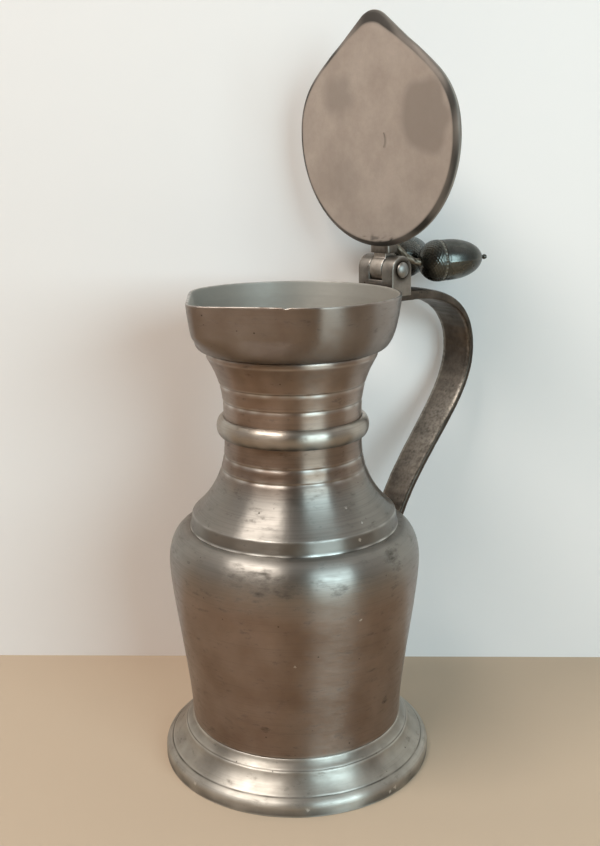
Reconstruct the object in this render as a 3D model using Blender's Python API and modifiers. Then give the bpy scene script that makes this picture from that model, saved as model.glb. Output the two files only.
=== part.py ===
"""Lidded wine jug with a turned body, a pointed mouth, a strap handle and a twin-acorn thumbpiece.

Lengths are in metres and +Z is up. The handle runs towards +X, the pouring beak points to -X and
the hinge pin lies along Y. The jug stands on z = 0, and its lid is swung open, as it rests.
"""

from math import asin, atan2, cos, hypot, pi, radians, sin, sqrt

import bmesh
import bpy
from mathutils import Matrix, Vector

MM = 0.001

# Clearances between neighbouring pieces
SEAT_GAP = 0.3 * MM
PIN_CLEARANCE = 0.15 * MM
HINGE_CLEARANCE = 0.35 * MM

# Facets round the jug, round the mouth and round the small turned pieces
TURN_STEPS = 40
MOUTH_STEPS = 56
SMALL_STEPS = 20
MERGE_DISTANCE = 0.01 * MM

# Facets along one curve of a profile, along its short curves and round a hinge barrel
CURVE_STEPS = 6
SHORT_STEPS = 4
BARREL_STEPS = 14
SHARP_ANGLE = radians(35)

# Turned lines, cut with a pointed tool
LINE_WIDTH = 1.2 * MM
LINE_DEPTH = 0.5 * MM

# Belly
DRUM_BASE_RADIUS = 47.6 * MM
DRUM_BELLY_RADIUS = 55.6 * MM
DRUM_SIDE_HEIGHT = 73.7 * MM
DRUM_SHOULDER_HEIGHT = 16.0 * MM
DRUM_WALL = 2.0 * MM
DRUM_LOWER_EASE = 20.7 * MM
DRUM_UPPER_EASE = 15.0 * MM
DRUM_SIDE_LEAN = 0.25 * MM
DRUM_SEAT_MARGIN = 0.5 * MM
DRUM_SHOULDER_FULLNESS = 0.6

# Floor of the belly
BASE_THICKNESS = 2.0 * MM
BASE_LEDGE = 2.2 * MM

# Foot, from its outer edge upwards
FOOT_EDGE_HEIGHT = 4.2 * MM
FOOT_LIP_WIDTH = 2.8 * MM
FOOT_LIP_HEIGHT = 3.3 * MM
FOOT_OGEE_WIDTH = 6.8 * MM
FOOT_OGEE_HEIGHT = 8.0 * MM
FOOT_TOP_WIDTH = 3.3 * MM
FOOT_TOP_HEIGHT = 3.5 * MM
FOOT_WALL = 3.0 * MM
FOOT_REST_WIDTH = 5.0 * MM
FOOT_EDGE_CHAMFER = 0.4 * MM
FOOT_LINE_SLOPE = radians(45)

# Handles of the foot's two curves, as shares of each curve's width and height
FOOT_OGEE_UPPER_EASE = (0.12, 0.42)
FOOT_OGEE_LOWER_EASE = (0.5, 0.26)
FOOT_LIP_UPPER_EASE = (0.6, 0.25)
FOOT_LIP_LOWER_EASE = (0.1, 0.5)

# Lower neck casting: a flat band and a sweeping cone
BAND_RADIUS = 45.7 * MM
BAND_HEIGHT = 5.8 * MM
BAND_TAPER = 0.8 * MM
BAND_SEAT_WIDTH = 4.5 * MM
SWEEP_HEIGHT = 32.0 * MM
SWEEP_UPPER_EASE = 14.0 * MM
SWEEP_LOWER_EASE = 8.6 * MM
SWEEP_LOWER_SLOPE = 0.86

# Neck, bead and upper neck casting
NECK_RADIUS = 30.0 * MM
NECK_WALL = 2.0 * MM
BEAD_HEIGHT = 10.2 * MM
BEAD_PROJECTION = 2.9 * MM
BEAD_MARGIN = 1.3 * MM
LINES_BELOW_BEAD = (7.7 * MM, 13.9 * MM)
LINES_ABOVE_BEAD = (6.0 * MM, 13.4 * MM)
FLARE_HEIGHT = 24.0 * MM
FLARE_LOWER_EASE = 11.6 * MM
FLARE_UPPER_EASE = 5.4 * MM
FLARE_UPPER_LEAN = 3.1 * MM
FLANGE_RADIUS = 36.8 * MM
FLANGE_EDGE = 2.4 * MM
FLANGE_SEAT_WIDTH = 2.8 * MM

# Mouth collar and its beak
COLLAR_RADIUS = 46.7 * MM
COLLAR_HEIGHT = 23.1 * MM
COLLAR_FOOT_RADIUS = 37.3 * MM
COLLAR_LOWER_EASE = 5.6 * MM
COLLAR_UPPER_EASE = 13.5 * MM
COLLAR_UPPER_LEAN = 1.3 * MM
COLLAR_WALL = 2.0 * MM
BEAK_PROJECTION = 5.6 * MM
BEAK_TIP_RADIUS = 11.0 * MM
BEAK_FLANK_ANGLE = radians(52)
BEAK_CROWDING = 0.5
BEAK_DRAW_SHARE = 0.45

# Hinge
HINGE_BEHIND_RIM = 9.8 * MM
HINGE_ABOVE_RIM = 6.2 * MM
BARREL_RADIUS = 6.2 * MM
KNUCKLE_WIDTH = 7.3 * MM
LUG_WIDTH = 6.8 * MM
PIN_RADIUS = 2.0 * MM
PIN_HEAD_RADIUS = 3.5 * MM
PIN_HEAD_HEIGHT = 2.0 * MM
STOP_DROP = 4.2 * MM
SLOT_FLOOR_ANGLE = radians(60)
OPEN_ANGLE = radians(87.5)

# Lid and the tongue that carries it
LID_OVERHANG = 1.3 * MM
LID_FORWARD = 1.9 * MM
LID_EDGE_THICKNESS = 4.2 * MM
LID_EDGE_ROUND = 1.3 * MM
LID_UNDER_CHAMFER = 2.2 * MM
LID_CROWN = 3.0 * MM
LID_CROWN_SHARES = (0.25, 0.5, 0.75, 0.94)
TONGUE_WIDTH = 11.5 * MM
TONGUE_REACH = 34.0 * MM
TONGUE_ROOT_THICKNESS = 5.0 * MM
TONGUE_TIP_THICKNESS = 4.0 * MM
TONGUE_CLEAR_OF_LUGS = 1.2 * MM
ARM_STEP = 0.6 * MM

# Thumbpiece
ACORN_SPLAY = radians(24.0)
ACORN_SETBACK = 1.4 * MM
ACORN_BASE_DISTANCE = 17.4 * MM
ACORN_BASE_RADIUS = 3.0 * MM
ACORN_CAP_LENGTH = 12.0 * MM
ACORN_CAP_RADIUS = 9.7 * MM
ACORN_NUT_LENGTH = 18.8 * MM
ACORN_NUT_RADIUS = 9.1 * MM
ACORN_NUB_LENGTH = 2.9 * MM
ACORN_NUB_RADIUS = 1.2 * MM
NUT_TIP_SPREAD = 0.55
NUT_TIP_DROP = 0.06
NUT_SWELL = 1.06
NUT_SWELL_HEIGHT = 0.5
CAP_SWELL = 1.02
CAP_SWELL_HEIGHT = 0.45
CAP_BASE_SPREAD = 0.7
CAP_BASE_RISE = 0.12
TWIG_RADIUS = 1.8 * MM
TWIG_SPREAD = 3.0 * MM

# Strap handle
HANDLE_REACH = 110.8 * MM
HANDLE_BELOW_HINGE = 9.0 * MM
HANDLE_STRAIGHT = 5.0 * MM
HANDLE_CREST_DROP = 33.6 * MM
HANDLE_TOP_EASE = 30.0 * MM
HANDLE_CREST_EASE = 21.0 * MM
HANDLE_FALL_EASE = 30.2 * MM
HANDLE_FOOT_EASE = 45.0 * MM
HANDLE_FOOT_LEAN = 0.12
HANDLE_FOOT_BELOW_BELLY = 17.0 * MM
HANDLE_FOOT_SINK = 0.6 * MM
HANDLE_FOOT_ROUND = 5.0 * MM
HANDLE_FOOT_NARROWING = 0.6
HANDLE_TOP_THICKNESS = 5.7 * MM
HANDLE_THICKNESS = 3.5 * MM
HANDLE_MID_WIDTH = 17.5 * MM
HANDLE_FOOT_WIDTH = 15.0 * MM
HANDLE_EDGE_CHAMFER = 0.8 * MM
HANDLE_STEPS = 14
LUG_PROUD = 0.3 * MM

# Places that follow from the sizes above
FOOT_RADIUS = DRUM_BASE_RADIUS + FOOT_TOP_WIDTH + FOOT_OGEE_WIDTH + FOOT_LIP_WIDTH
FOOT_TOP = FOOT_EDGE_HEIGHT + FOOT_LIP_HEIGHT + FOOT_OGEE_HEIGHT + FOOT_TOP_HEIGHT
DRUM_BASE = FOOT_TOP + SEAT_GAP
DRUM_BELLY = DRUM_BASE + DRUM_SIDE_HEIGHT
DRUM_TOP = DRUM_BELLY + DRUM_SHOULDER_HEIGHT
DRUM_SEAT_RADIUS = BAND_RADIUS + DRUM_SEAT_MARGIN
DRUM_MOUTH_RADIUS = BAND_RADIUS - BAND_SEAT_WIDTH
CONE_BASE = DRUM_TOP + SEAT_GAP
CONE_BAND_TOP = CONE_BASE + BAND_HEIGHT
CONE_NECK = CONE_BAND_TOP + SWEEP_HEIGHT
CONE_TOP = CONE_NECK + BEAD_MARGIN + BEAD_HEIGHT / 2
BEAD_CENTRE = CONE_TOP + SEAT_GAP / 2
UPPER_BASE = CONE_TOP + SEAT_GAP
UPPER_NECK = UPPER_BASE + BEAD_HEIGHT / 2 + BEAD_MARGIN
UPPER_FLANGE = UPPER_NECK + FLARE_HEIGHT
UPPER_TOP = UPPER_FLANGE + FLANGE_EDGE
COLLAR_BASE = UPPER_TOP + SEAT_GAP
RIM_HEIGHT = COLLAR_BASE + COLLAR_HEIGHT
HINGE_X = COLLAR_RADIUS + HINGE_BEHIND_RIM
HINGE_Z = RIM_HEIGHT + HINGE_ABOVE_RIM
HINGE_HALF_LENGTH = KNUCKLE_WIDTH / 2 + HINGE_CLEARANCE + LUG_WIDTH
LID_UNDERSIDE = SEAT_GAP - HINGE_ABOVE_RIM
LID_RADIUS = COLLAR_RADIUS + LID_OVERHANG
BEAK_TIP = COLLAR_RADIUS + BEAK_PROJECTION
HANDLE_TOP = HINGE_Z - HANDLE_BELOW_HINGE
AXIS_X = (FOOT_RADIUS - HANDLE_REACH) / 2


def remove_all_objects():
    """Start from an empty scene."""
    for item in list(bpy.data.objects):
        bpy.data.objects.remove(item, do_unlink=True)


def new_collection(name):
    """A collection linked to the scene."""
    collection = bpy.data.collections.new(name)
    bpy.context.scene.collection.children.link(collection)
    return collection


def cubic(start, start_handle, end_handle, end, count):
    """Points along a cubic curve, both ends included."""
    points = []
    for step in range(count + 1):
        t = step / count
        weights = ((1 - t) ** 3, 3 * (1 - t) ** 2 * t, 3 * (1 - t) * t * t, t ** 3)
        corners = (start, start_handle, end_handle, end)
        points.append(tuple(sum(w * p[i] for w, p in zip(weights, corners)) for i in (0, 1)))
    return points


def arc(centre, radius, start, end, count):
    """Points along a circular arc, both ends included, with angles in radians."""
    angles = [start + (end - start) * step / count for step in range(count + 1)]
    return [(centre[0] + radius * cos(a), centre[1] + radius * sin(a)) for a in angles]


def eased_slope(upper, lower, upper_ease, lower_ease, count):
    """Points down a curved slope whose handles are shares of its width and height."""
    width = lower[0] - upper[0]
    height = upper[1] - lower[1]
    return cubic(
        upper,
        (upper[0] + upper_ease[0] * width, upper[1] - upper_ease[1] * height),
        (lower[0] - lower_ease[0] * width, lower[1] + lower_ease[1] * height),
        lower,
        count,
    )


def smooth_step(t):
    """Rise from 0 to 1 with level ends."""
    t = min(max(t, 0.0), 1.0)
    return t * t * (3 - 2 * t)


def notch(point, slope):
    """A turned line at a point of a profile whose outward normal leans up by slope."""
    outward = (cos(slope), sin(slope))
    along = (sin(slope), -cos(slope))
    half = LINE_WIDTH / 2
    return [
        (point[0] - along[0] * half, point[1] - along[1] * half),
        (point[0] - outward[0] * LINE_DEPTH, point[1] - outward[1] * LINE_DEPTH),
        (point[0] + along[0] * half, point[1] + along[1] * half),
    ]


def with_lines(profile, heights):
    """Cut a turned line at each height into a profile that runs downwards."""
    result = list(profile)
    for height in heights:
        before = [p for p in result if p[1] > height]
        after = [p for p in result if p[1] <= height]
        above, below = before[-1], after[0]
        share = (above[1] - height) / (above[1] - below[1])
        radius = above[0] + (below[0] - above[0]) * share
        before = [p for p in before if p[1] > height + LINE_WIDTH]
        after = [p for p in after if p[1] < height - LINE_WIDTH]
        result = before + notch((radius, height), 0.0) + after
    return result


def link(name, data, collection, parent=None, location=(0, 0, 0), rotation=(0, 0, 0)):
    """An object in a collection, placed under its parent."""
    item = bpy.data.objects.new(name, data)
    collection.objects.link(item)
    item.parent = parent
    item.location = location
    item.rotation_euler = rotation
    return item


def finish(item, colour, roughness):
    """Give a piece its own metal."""
    material = bpy.data.materials.new(item.name)
    material.use_nodes = True
    shader = material.node_tree.nodes["Principled BSDF"]
    shader.inputs["Base Color"].default_value = (*colour, 1.0)
    shader.inputs["Roughness"].default_value = roughness
    shader.inputs["Metallic"].default_value = 1.0
    item.data.materials.append(material)


def hide_as_cutter(item):
    """Mark a tool solid that only shapes other pieces."""
    item.hide_render = True
    item.display_type = "WIRE"


def turned(name, profile, collection, parent, closed=True, steps=TURN_STEPS, **place):
    """A piece turned round its own Z axis from a profile that runs down its outer side."""
    mesh = bpy.data.meshes.new(name)
    edges = [(i, i + 1) for i in range(len(profile) - 1)]
    if closed:
        edges.append((len(profile) - 1, 0))
    mesh.from_pydata([(r, 0.0, z) for r, z in profile], edges, [])
    item = link(name, mesh, collection, parent, **place)
    screw = item.modifiers.new("turning", "SCREW")
    screw.axis = "Z"
    screw.angle = 2 * pi
    screw.steps = steps
    screw.render_steps = steps
    screw.use_merge_vertices = True
    screw.merge_threshold = MERGE_DISTANCE
    screw.use_smooth_shade = True
    return item


def lofted(name, rings, collection, parent, ring_shaped=False, **place):
    """A skin over rings of equal count; the ends are filled, or joined when it is ring shaped."""
    shape = bmesh.new()
    rows = [[shape.verts.new(point) for point in ring] for ring in rings]
    pairs = list(zip(rows, rows[1:]))
    if ring_shaped:
        pairs.append((rows[-1], rows[0]))
    for lower, upper in pairs:
        for i in range(len(lower)):
            j = (i + 1) % len(lower)
            shape.faces.new((lower[i], lower[j], upper[j], upper[i]))
    if not ring_shaped:
        shape.faces.new(list(reversed(rows[0])))
        shape.faces.new(rows[-1])
    bmesh.ops.recalc_face_normals(shape, faces=shape.faces)
    mesh = bpy.data.meshes.new(name)
    shape.to_mesh(mesh)
    shape.free()
    mesh.shade_smooth()
    mesh.set_sharp_from_angle(angle=SHARP_ANGLE)
    return link(name, mesh, collection, parent, **place)


def extruded(name, outline, half_width, collection, parent):
    """A flat outline in the XZ plane, given a thickness along Y."""
    curve = bpy.data.curves.new(name, "CURVE")
    curve.dimensions = "2D"
    curve.fill_mode = "BOTH"
    curve.extrude = half_width
    spline = curve.splines.new("POLY")
    spline.points.add(len(outline) - 1)
    for point, (x, z) in zip(spline.points, outline):
        point.co = (x, z, 0.0, 1.0)
    spline.use_cyclic_u = True
    flat = link(name + "_outline", curve, collection)
    bpy.context.view_layer.update()
    graph = bpy.context.evaluated_depsgraph_get()
    mesh = bpy.data.meshes.new_from_object(flat.evaluated_get(graph))
    bpy.data.objects.remove(flat, do_unlink=True)
    mesh.name = name
    mesh.transform(Matrix.Rotation(pi / 2, 4, "X"))
    shape = bmesh.new()
    shape.from_mesh(mesh)
    bmesh.ops.remove_doubles(shape, verts=shape.verts, dist=MERGE_DISTANCE)
    bmesh.ops.recalc_face_normals(shape, faces=shape.faces)
    shape.to_mesh(mesh)
    shape.free()
    return link(name, mesh, collection, parent)


def combine(item, tool, operation):
    """Join a tool solid to a piece, or cut it away."""
    boolean = item.modifiers.new(tool.name, "BOOLEAN")
    boolean.operation = operation
    boolean.solver = "EXACT"
    boolean.object = tool


def drop_radius(angle, radius, shift, tip, tip_radius):
    """Radius of a drop-shaped outline at an angle from its rounded point.

    Straight flanks run from the point into a round back, whose centre is shifted towards the point.
    """
    turn = abs((angle + pi) % (2 * pi) - pi)
    tip_centre = tip - tip_radius
    touch = atan2(
        tip_radius * cos(BEAK_FLANK_ANGLE),
        tip_centre + tip_radius * sin(BEAK_FLANK_ANGLE),
    )
    if turn < touch:
        return tip_centre * cos(turn) + sqrt(tip_radius ** 2 - (tip_centre * sin(turn)) ** 2)
    flank_offset = tip_centre * sin(BEAK_FLANK_ANGLE) + tip_radius
    past_nearest = turn + BEAK_FLANK_ANGLE - pi / 2
    back = shift * cos(turn) + sqrt(radius ** 2 - (shift * sin(turn)) ** 2)
    if past_nearest > pi / 3:
        return back
    flank = flank_offset / cos(past_nearest)
    if past_nearest < 0.0:
        return flank
    blend = radius - flank_offset
    share = min(abs(back - flank) / blend, 1.0)
    return min(back, flank) - blend * (1 - share) ** 2 / 4


def drop_ring(centre_x, height, count, **outline):
    """One drop-shaped ring of points, with its point towards -X and its points crowded there."""
    ring = []
    for step in range(count):
        even = 2 * pi * step / count
        angle = even - BEAK_CROWDING * sin(even)
        reach = drop_radius(angle, **outline)
        ring.append((centre_x - reach * cos(angle), reach * sin(angle), height))
    return ring


def drum_side():
    """Outer side of the belly, from its widest place down to its base."""
    return cubic(
        (DRUM_BELLY_RADIUS, DRUM_BELLY),
        (DRUM_BELLY_RADIUS - DRUM_SIDE_LEAN, DRUM_BELLY - DRUM_UPPER_EASE),
        (DRUM_BASE_RADIUS + DRUM_SIDE_LEAN, DRUM_BASE + DRUM_LOWER_EASE),
        (DRUM_BASE_RADIUS, DRUM_BASE),
        CURVE_STEPS,
    )


def drum_shoulder():
    """Rounded top of the belly, from the neck's seat down to the widest place."""
    width = DRUM_BELLY_RADIUS - DRUM_SEAT_RADIUS
    return cubic(
        (DRUM_SEAT_RADIUS, DRUM_TOP),
        (DRUM_SEAT_RADIUS + DRUM_SHOULDER_FULLNESS * width, DRUM_TOP),
        (DRUM_BELLY_RADIUS, DRUM_BELLY + DRUM_SHOULDER_FULLNESS * DRUM_SHOULDER_HEIGHT),
        (DRUM_BELLY_RADIUS, DRUM_BELLY),
        CURVE_STEPS,
    )


def collar_side():
    """Outer side of the mouth collar, from its rim down to its foot."""
    return cubic(
        (COLLAR_RADIUS, RIM_HEIGHT),
        (COLLAR_RADIUS - COLLAR_UPPER_LEAN, RIM_HEIGHT - COLLAR_UPPER_EASE),
        (COLLAR_FOOT_RADIUS + COLLAR_LOWER_EASE, COLLAR_BASE + SEAT_GAP),
        (COLLAR_FOOT_RADIUS, COLLAR_BASE),
        CURVE_STEPS,
    )


def radius_at(profile, height):
    """Radius of a falling profile at a height."""
    for (r1, z1), (r2, z2) in zip(profile, profile[1:]):
        if z1 >= height >= z2:
            return r1 + (r2 - r1) * (z1 - height) / (z1 - z2)
    return profile[-1][0]


def build_foot(collection, parent):
    """Hollow spreading foot: a sloping top band, an ogee, a rounded lip and an upright edge."""
    upper = (DRUM_BASE_RADIUS + FOOT_TOP_WIDTH, FOOT_TOP - FOOT_TOP_HEIGHT)
    lower = (upper[0] + FOOT_OGEE_WIDTH, upper[1] - FOOT_OGEE_HEIGHT)
    edge = (FOOT_RADIUS, FOOT_EDGE_HEIGHT)
    seat_inner = DRUM_BASE_RADIUS - DRUM_WALL - BASE_LEDGE
    upper_line = notch(upper, FOOT_LINE_SLOPE)
    lower_line = notch(lower, FOOT_LINE_SLOPE)
    inset = FOOT_WALL * cos(FOOT_LINE_SLOPE)
    profile = [(seat_inner, FOOT_TOP), (DRUM_BASE_RADIUS, FOOT_TOP)]
    profile += upper_line
    profile += eased_slope(
        upper_line[-1], lower_line[0], FOOT_OGEE_UPPER_EASE, FOOT_OGEE_LOWER_EASE, CURVE_STEPS
    )[1:-1]
    profile += lower_line
    profile += eased_slope(
        lower_line[-1], edge, FOOT_LIP_UPPER_EASE, FOOT_LIP_LOWER_EASE, SHORT_STEPS
    )[1:]
    profile += [
        (FOOT_RADIUS, FOOT_EDGE_CHAMFER),
        (FOOT_RADIUS - FOOT_EDGE_CHAMFER, 0.0),
        (FOOT_RADIUS - FOOT_REST_WIDTH, 0.0),
        (lower[0] - inset, lower[1] - inset),
        (upper[0] - inset, upper[1] - inset),
        (seat_inner, FOOT_TOP - FOOT_WALL),
    ]
    item = turned("foot_ring", profile, collection, parent)
    finish(item, (0.52, 0.50, 0.46), 0.34)


def build_base(collection, parent):
    """Flat floor of the belly, laid on the foot's ledge inside the drum."""
    shape = bmesh.new()
    radius = DRUM_BASE_RADIUS - DRUM_WALL - SEAT_GAP
    bmesh.ops.create_cone(
        shape,
        cap_ends=True,
        segments=TURN_STEPS,
        radius1=radius,
        radius2=radius,
        depth=BASE_THICKNESS,
    )
    mesh = bpy.data.meshes.new("base_disc")
    shape.to_mesh(mesh)
    shape.free()
    place = (0, 0, DRUM_BASE + BASE_THICKNESS / 2)
    item = link("base_disc", mesh, collection, parent, location=place)
    finish(item, (0.46, 0.43, 0.39), 0.45)


def build_drum(collection, parent):
    """Belly: a side that widens upwards and a rounded shoulder with a flat seat for the neck."""
    shoulder = drum_shoulder()
    side = drum_side()
    outer = [(DRUM_MOUTH_RADIUS, DRUM_TOP)] + shoulder + side[1:]
    inner = [(r - DRUM_WALL, z) for r, z in reversed(side)]
    inner += [(r - DRUM_WALL, z - DRUM_WALL) for r, z in reversed(shoulder[1:-1])]
    inner.append((DRUM_MOUTH_RADIUS, DRUM_TOP - DRUM_WALL))
    item = turned("body_drum", outer + inner, collection, parent)
    finish(item, (0.42, 0.37, 0.32), 0.32)


def build_cone(collection, parent):
    """Lower neck casting: the band that sits on the drum, the sweeping cone and the neck."""
    sweep = cubic(
        (NECK_RADIUS, CONE_NECK),
        (NECK_RADIUS, CONE_NECK - SWEEP_UPPER_EASE),
        (
            BAND_RADIUS - BAND_TAPER - SWEEP_LOWER_EASE,
            CONE_BAND_TOP + SWEEP_LOWER_SLOPE * SWEEP_LOWER_EASE,
        ),
        (BAND_RADIUS - BAND_TAPER, CONE_BAND_TOP),
        CURVE_STEPS,
    )
    bead_foot = BEAD_CENTRE - BEAD_HEIGHT / 2
    outer = with_lines(
        [(NECK_RADIUS, CONE_TOP)] + sweep,
        [bead_foot - drop for drop in LINES_BELOW_BEAD],
    )
    outer += [(BAND_RADIUS, CONE_BASE)]
    inner = [(DRUM_MOUTH_RADIUS, CONE_BASE)]
    inner += [(r - NECK_WALL, z - NECK_WALL / 2) for r, z in reversed(sweep[1:-1])]
    inner += [(NECK_RADIUS - NECK_WALL, CONE_NECK), (NECK_RADIUS - NECK_WALL, CONE_TOP)]
    item = turned("shoulder_cone", outer + inner, collection, parent)
    finish(item, (0.48, 0.44, 0.39), 0.30)


def build_bead(collection, parent):
    """Half-round ring over the joint of the two neck castings."""
    inner = NECK_RADIUS + SEAT_GAP
    half = BEAD_HEIGHT / 2
    profile = []
    for step in range(2 * SHORT_STEPS + 1):
        angle = pi / 2 - pi * step / (2 * SHORT_STEPS)
        radius = inner + LINE_DEPTH + (BEAD_PROJECTION - LINE_DEPTH) * cos(angle)
        profile.append((radius, BEAD_CENTRE + half * sin(angle)))
    profile += [(inner, BEAD_CENTRE - half), (inner, BEAD_CENTRE + half)]
    item = turned("neck_bead", profile, collection, parent)
    finish(item, (0.46, 0.42, 0.37), 0.30)


def build_upper_neck(collection, parent):
    """Upper neck casting, which flares to the flange under the mouth collar."""
    flare = cubic(
        (FLANGE_RADIUS, UPPER_FLANGE),
        (FLANGE_RADIUS - FLARE_UPPER_LEAN, UPPER_FLANGE - FLARE_UPPER_EASE),
        (NECK_RADIUS, UPPER_NECK + FLARE_LOWER_EASE),
        (NECK_RADIUS, UPPER_NECK),
        CURVE_STEPS,
    )
    bead_top = BEAD_CENTRE + BEAD_HEIGHT / 2
    outer = [(FLANGE_RADIUS - FLANGE_SEAT_WIDTH, UPPER_TOP), (FLANGE_RADIUS, UPPER_TOP)]
    outer += with_lines(
        flare + [(NECK_RADIUS, UPPER_BASE)],
        [bead_top + rise for rise in LINES_ABOVE_BEAD],
    )
    inner = [(NECK_RADIUS - NECK_WALL, UPPER_BASE)]
    inner += [(r - NECK_WALL, z) for r, z in reversed(flare[2:])]
    inner.append((FLANGE_RADIUS - FLANGE_SEAT_WIDTH, UPPER_FLANGE - FLANGE_EDGE))
    item = turned("upper_neck", outer + inner, collection, parent)
    finish(item, (0.42, 0.36, 0.30), 0.30)


def build_collar(collection, parent):
    """Deep mouth collar, round at its foot and drawn out to a beak over most of its height."""
    side = collar_side()
    opening = FLANGE_RADIUS - FLANGE_SEAT_WIDTH
    outer = list(reversed(side))
    inner = [(r - COLLAR_WALL, z) for r, z in side[:-2]]
    inner.append((opening, COLLAR_BASE + COLLAR_WALL))
    inner.append((opening, COLLAR_BASE))
    rings = []
    for radius, height in outer + inner:
        draw = smooth_step((height - COLLAR_BASE) / (BEAK_DRAW_SHARE * COLLAR_HEIGHT))
        ring = drop_ring(
            0.0,
            height,
            MOUTH_STEPS,
            radius=COLLAR_RADIUS,
            shift=0.0,
            tip=BEAK_TIP,
            tip_radius=BEAK_TIP_RADIUS,
        )
        shaped = []
        for x, y, z in ring:
            reach = hypot(x, y)
            grown = radius + draw * (reach - COLLAR_RADIUS)
            shaped.append((x / reach * grown, y / reach * grown, z))
        rings.append(shaped)
    item = lofted("mouth_collar", rings, collection, parent, ring_shaped=True)
    finish(item, (0.42, 0.36, 0.30), 0.30)


def strap_path():
    """Middle line of the strap in the XZ plane, from inside the collar round to the drum."""
    half_top = HANDLE_TOP_THICKNESS / 2
    half = HANDLE_THICKNESS / 2
    start = (COLLAR_RADIUS - COLLAR_WALL, HANDLE_TOP - half_top)
    bend = (HINGE_X + HANDLE_STRAIGHT, HANDLE_TOP - half_top)
    crest = (HANDLE_REACH - half, HANDLE_TOP - HANDLE_CREST_DROP)
    foot_height = DRUM_BELLY - HANDLE_FOOT_BELOW_BELLY
    drum_radius = radius_at(drum_side(), foot_height)
    foot = (drum_radius + SEAT_GAP + half - HANDLE_FOOT_SINK, foot_height)
    over = cubic(
        bend,
        (bend[0] + HANDLE_TOP_EASE, bend[1]),
        (crest[0], crest[1] + HANDLE_CREST_EASE),
        crest,
        HANDLE_STEPS,
    )
    down = cubic(
        crest,
        (crest[0], crest[1] - HANDLE_FALL_EASE),
        (foot[0] + HANDLE_FOOT_LEAN * HANDLE_FOOT_EASE, foot[1] + HANDLE_FOOT_EASE),
        foot,
        HANDLE_STEPS,
    )
    return [start] + over + down[1:]


def strap_section(place, along, width, thickness):
    """Chamfered rectangle across the strap."""
    outward = Vector((-along.z, 0.0, along.x))
    side = Vector((0.0, 1.0, 0.0))
    w = width / 2
    t = thickness / 2
    c = min(HANDLE_EDGE_CHAMFER, w / 2, t / 2)
    quarter = [(w, t - c), (w - c, t)]
    corners = quarter + [(-a, b) for a, b in reversed(quarter)]
    corners += [(-a, -b) for a, b in corners]
    return [place + side * a + outward * b for a, b in corners]


def build_strap(collection, parent):
    """Strap that thins from the hinge to the crest and narrows to a rounded foot on the drum."""
    path = [Vector((x, 0.0, z)) for x, z in strap_path()]
    lengths = [0.0]
    for before, after in zip(path, path[1:]):
        lengths.append(lengths[-1] + (after - before).length)
    crest = lengths[HANDLE_STEPS + 1]
    total = lengths[-1]
    top_width = 2 * (HINGE_HALF_LENGTH - LUG_PROUD)
    rings = []
    for i, place in enumerate(path):
        before = path[max(i - 1, 0)]
        after = path[min(i + 1, len(path) - 1)]
        along = (after - before).normalized()
        first = smooth_step((lengths[i] - lengths[1]) / (crest - lengths[1]))
        second = smooth_step((lengths[i] - crest) / (total - crest))
        width = top_width + (HANDLE_MID_WIDTH - top_width) * first
        width += (HANDLE_FOOT_WIDTH - HANDLE_MID_WIDTH) * second
        thickness = HANDLE_TOP_THICKNESS + (HANDLE_THICKNESS - HANDLE_TOP_THICKNESS) * first
        left = total - lengths[i]
        if left < HANDLE_FOOT_ROUND:
            width *= sqrt(1 - HANDLE_FOOT_NARROWING * (1 - left / HANDLE_FOOT_ROUND) ** 2)
        rings.append(strap_section(place, along, width, thickness))
    return lofted("handle", rings, collection, parent)


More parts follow.
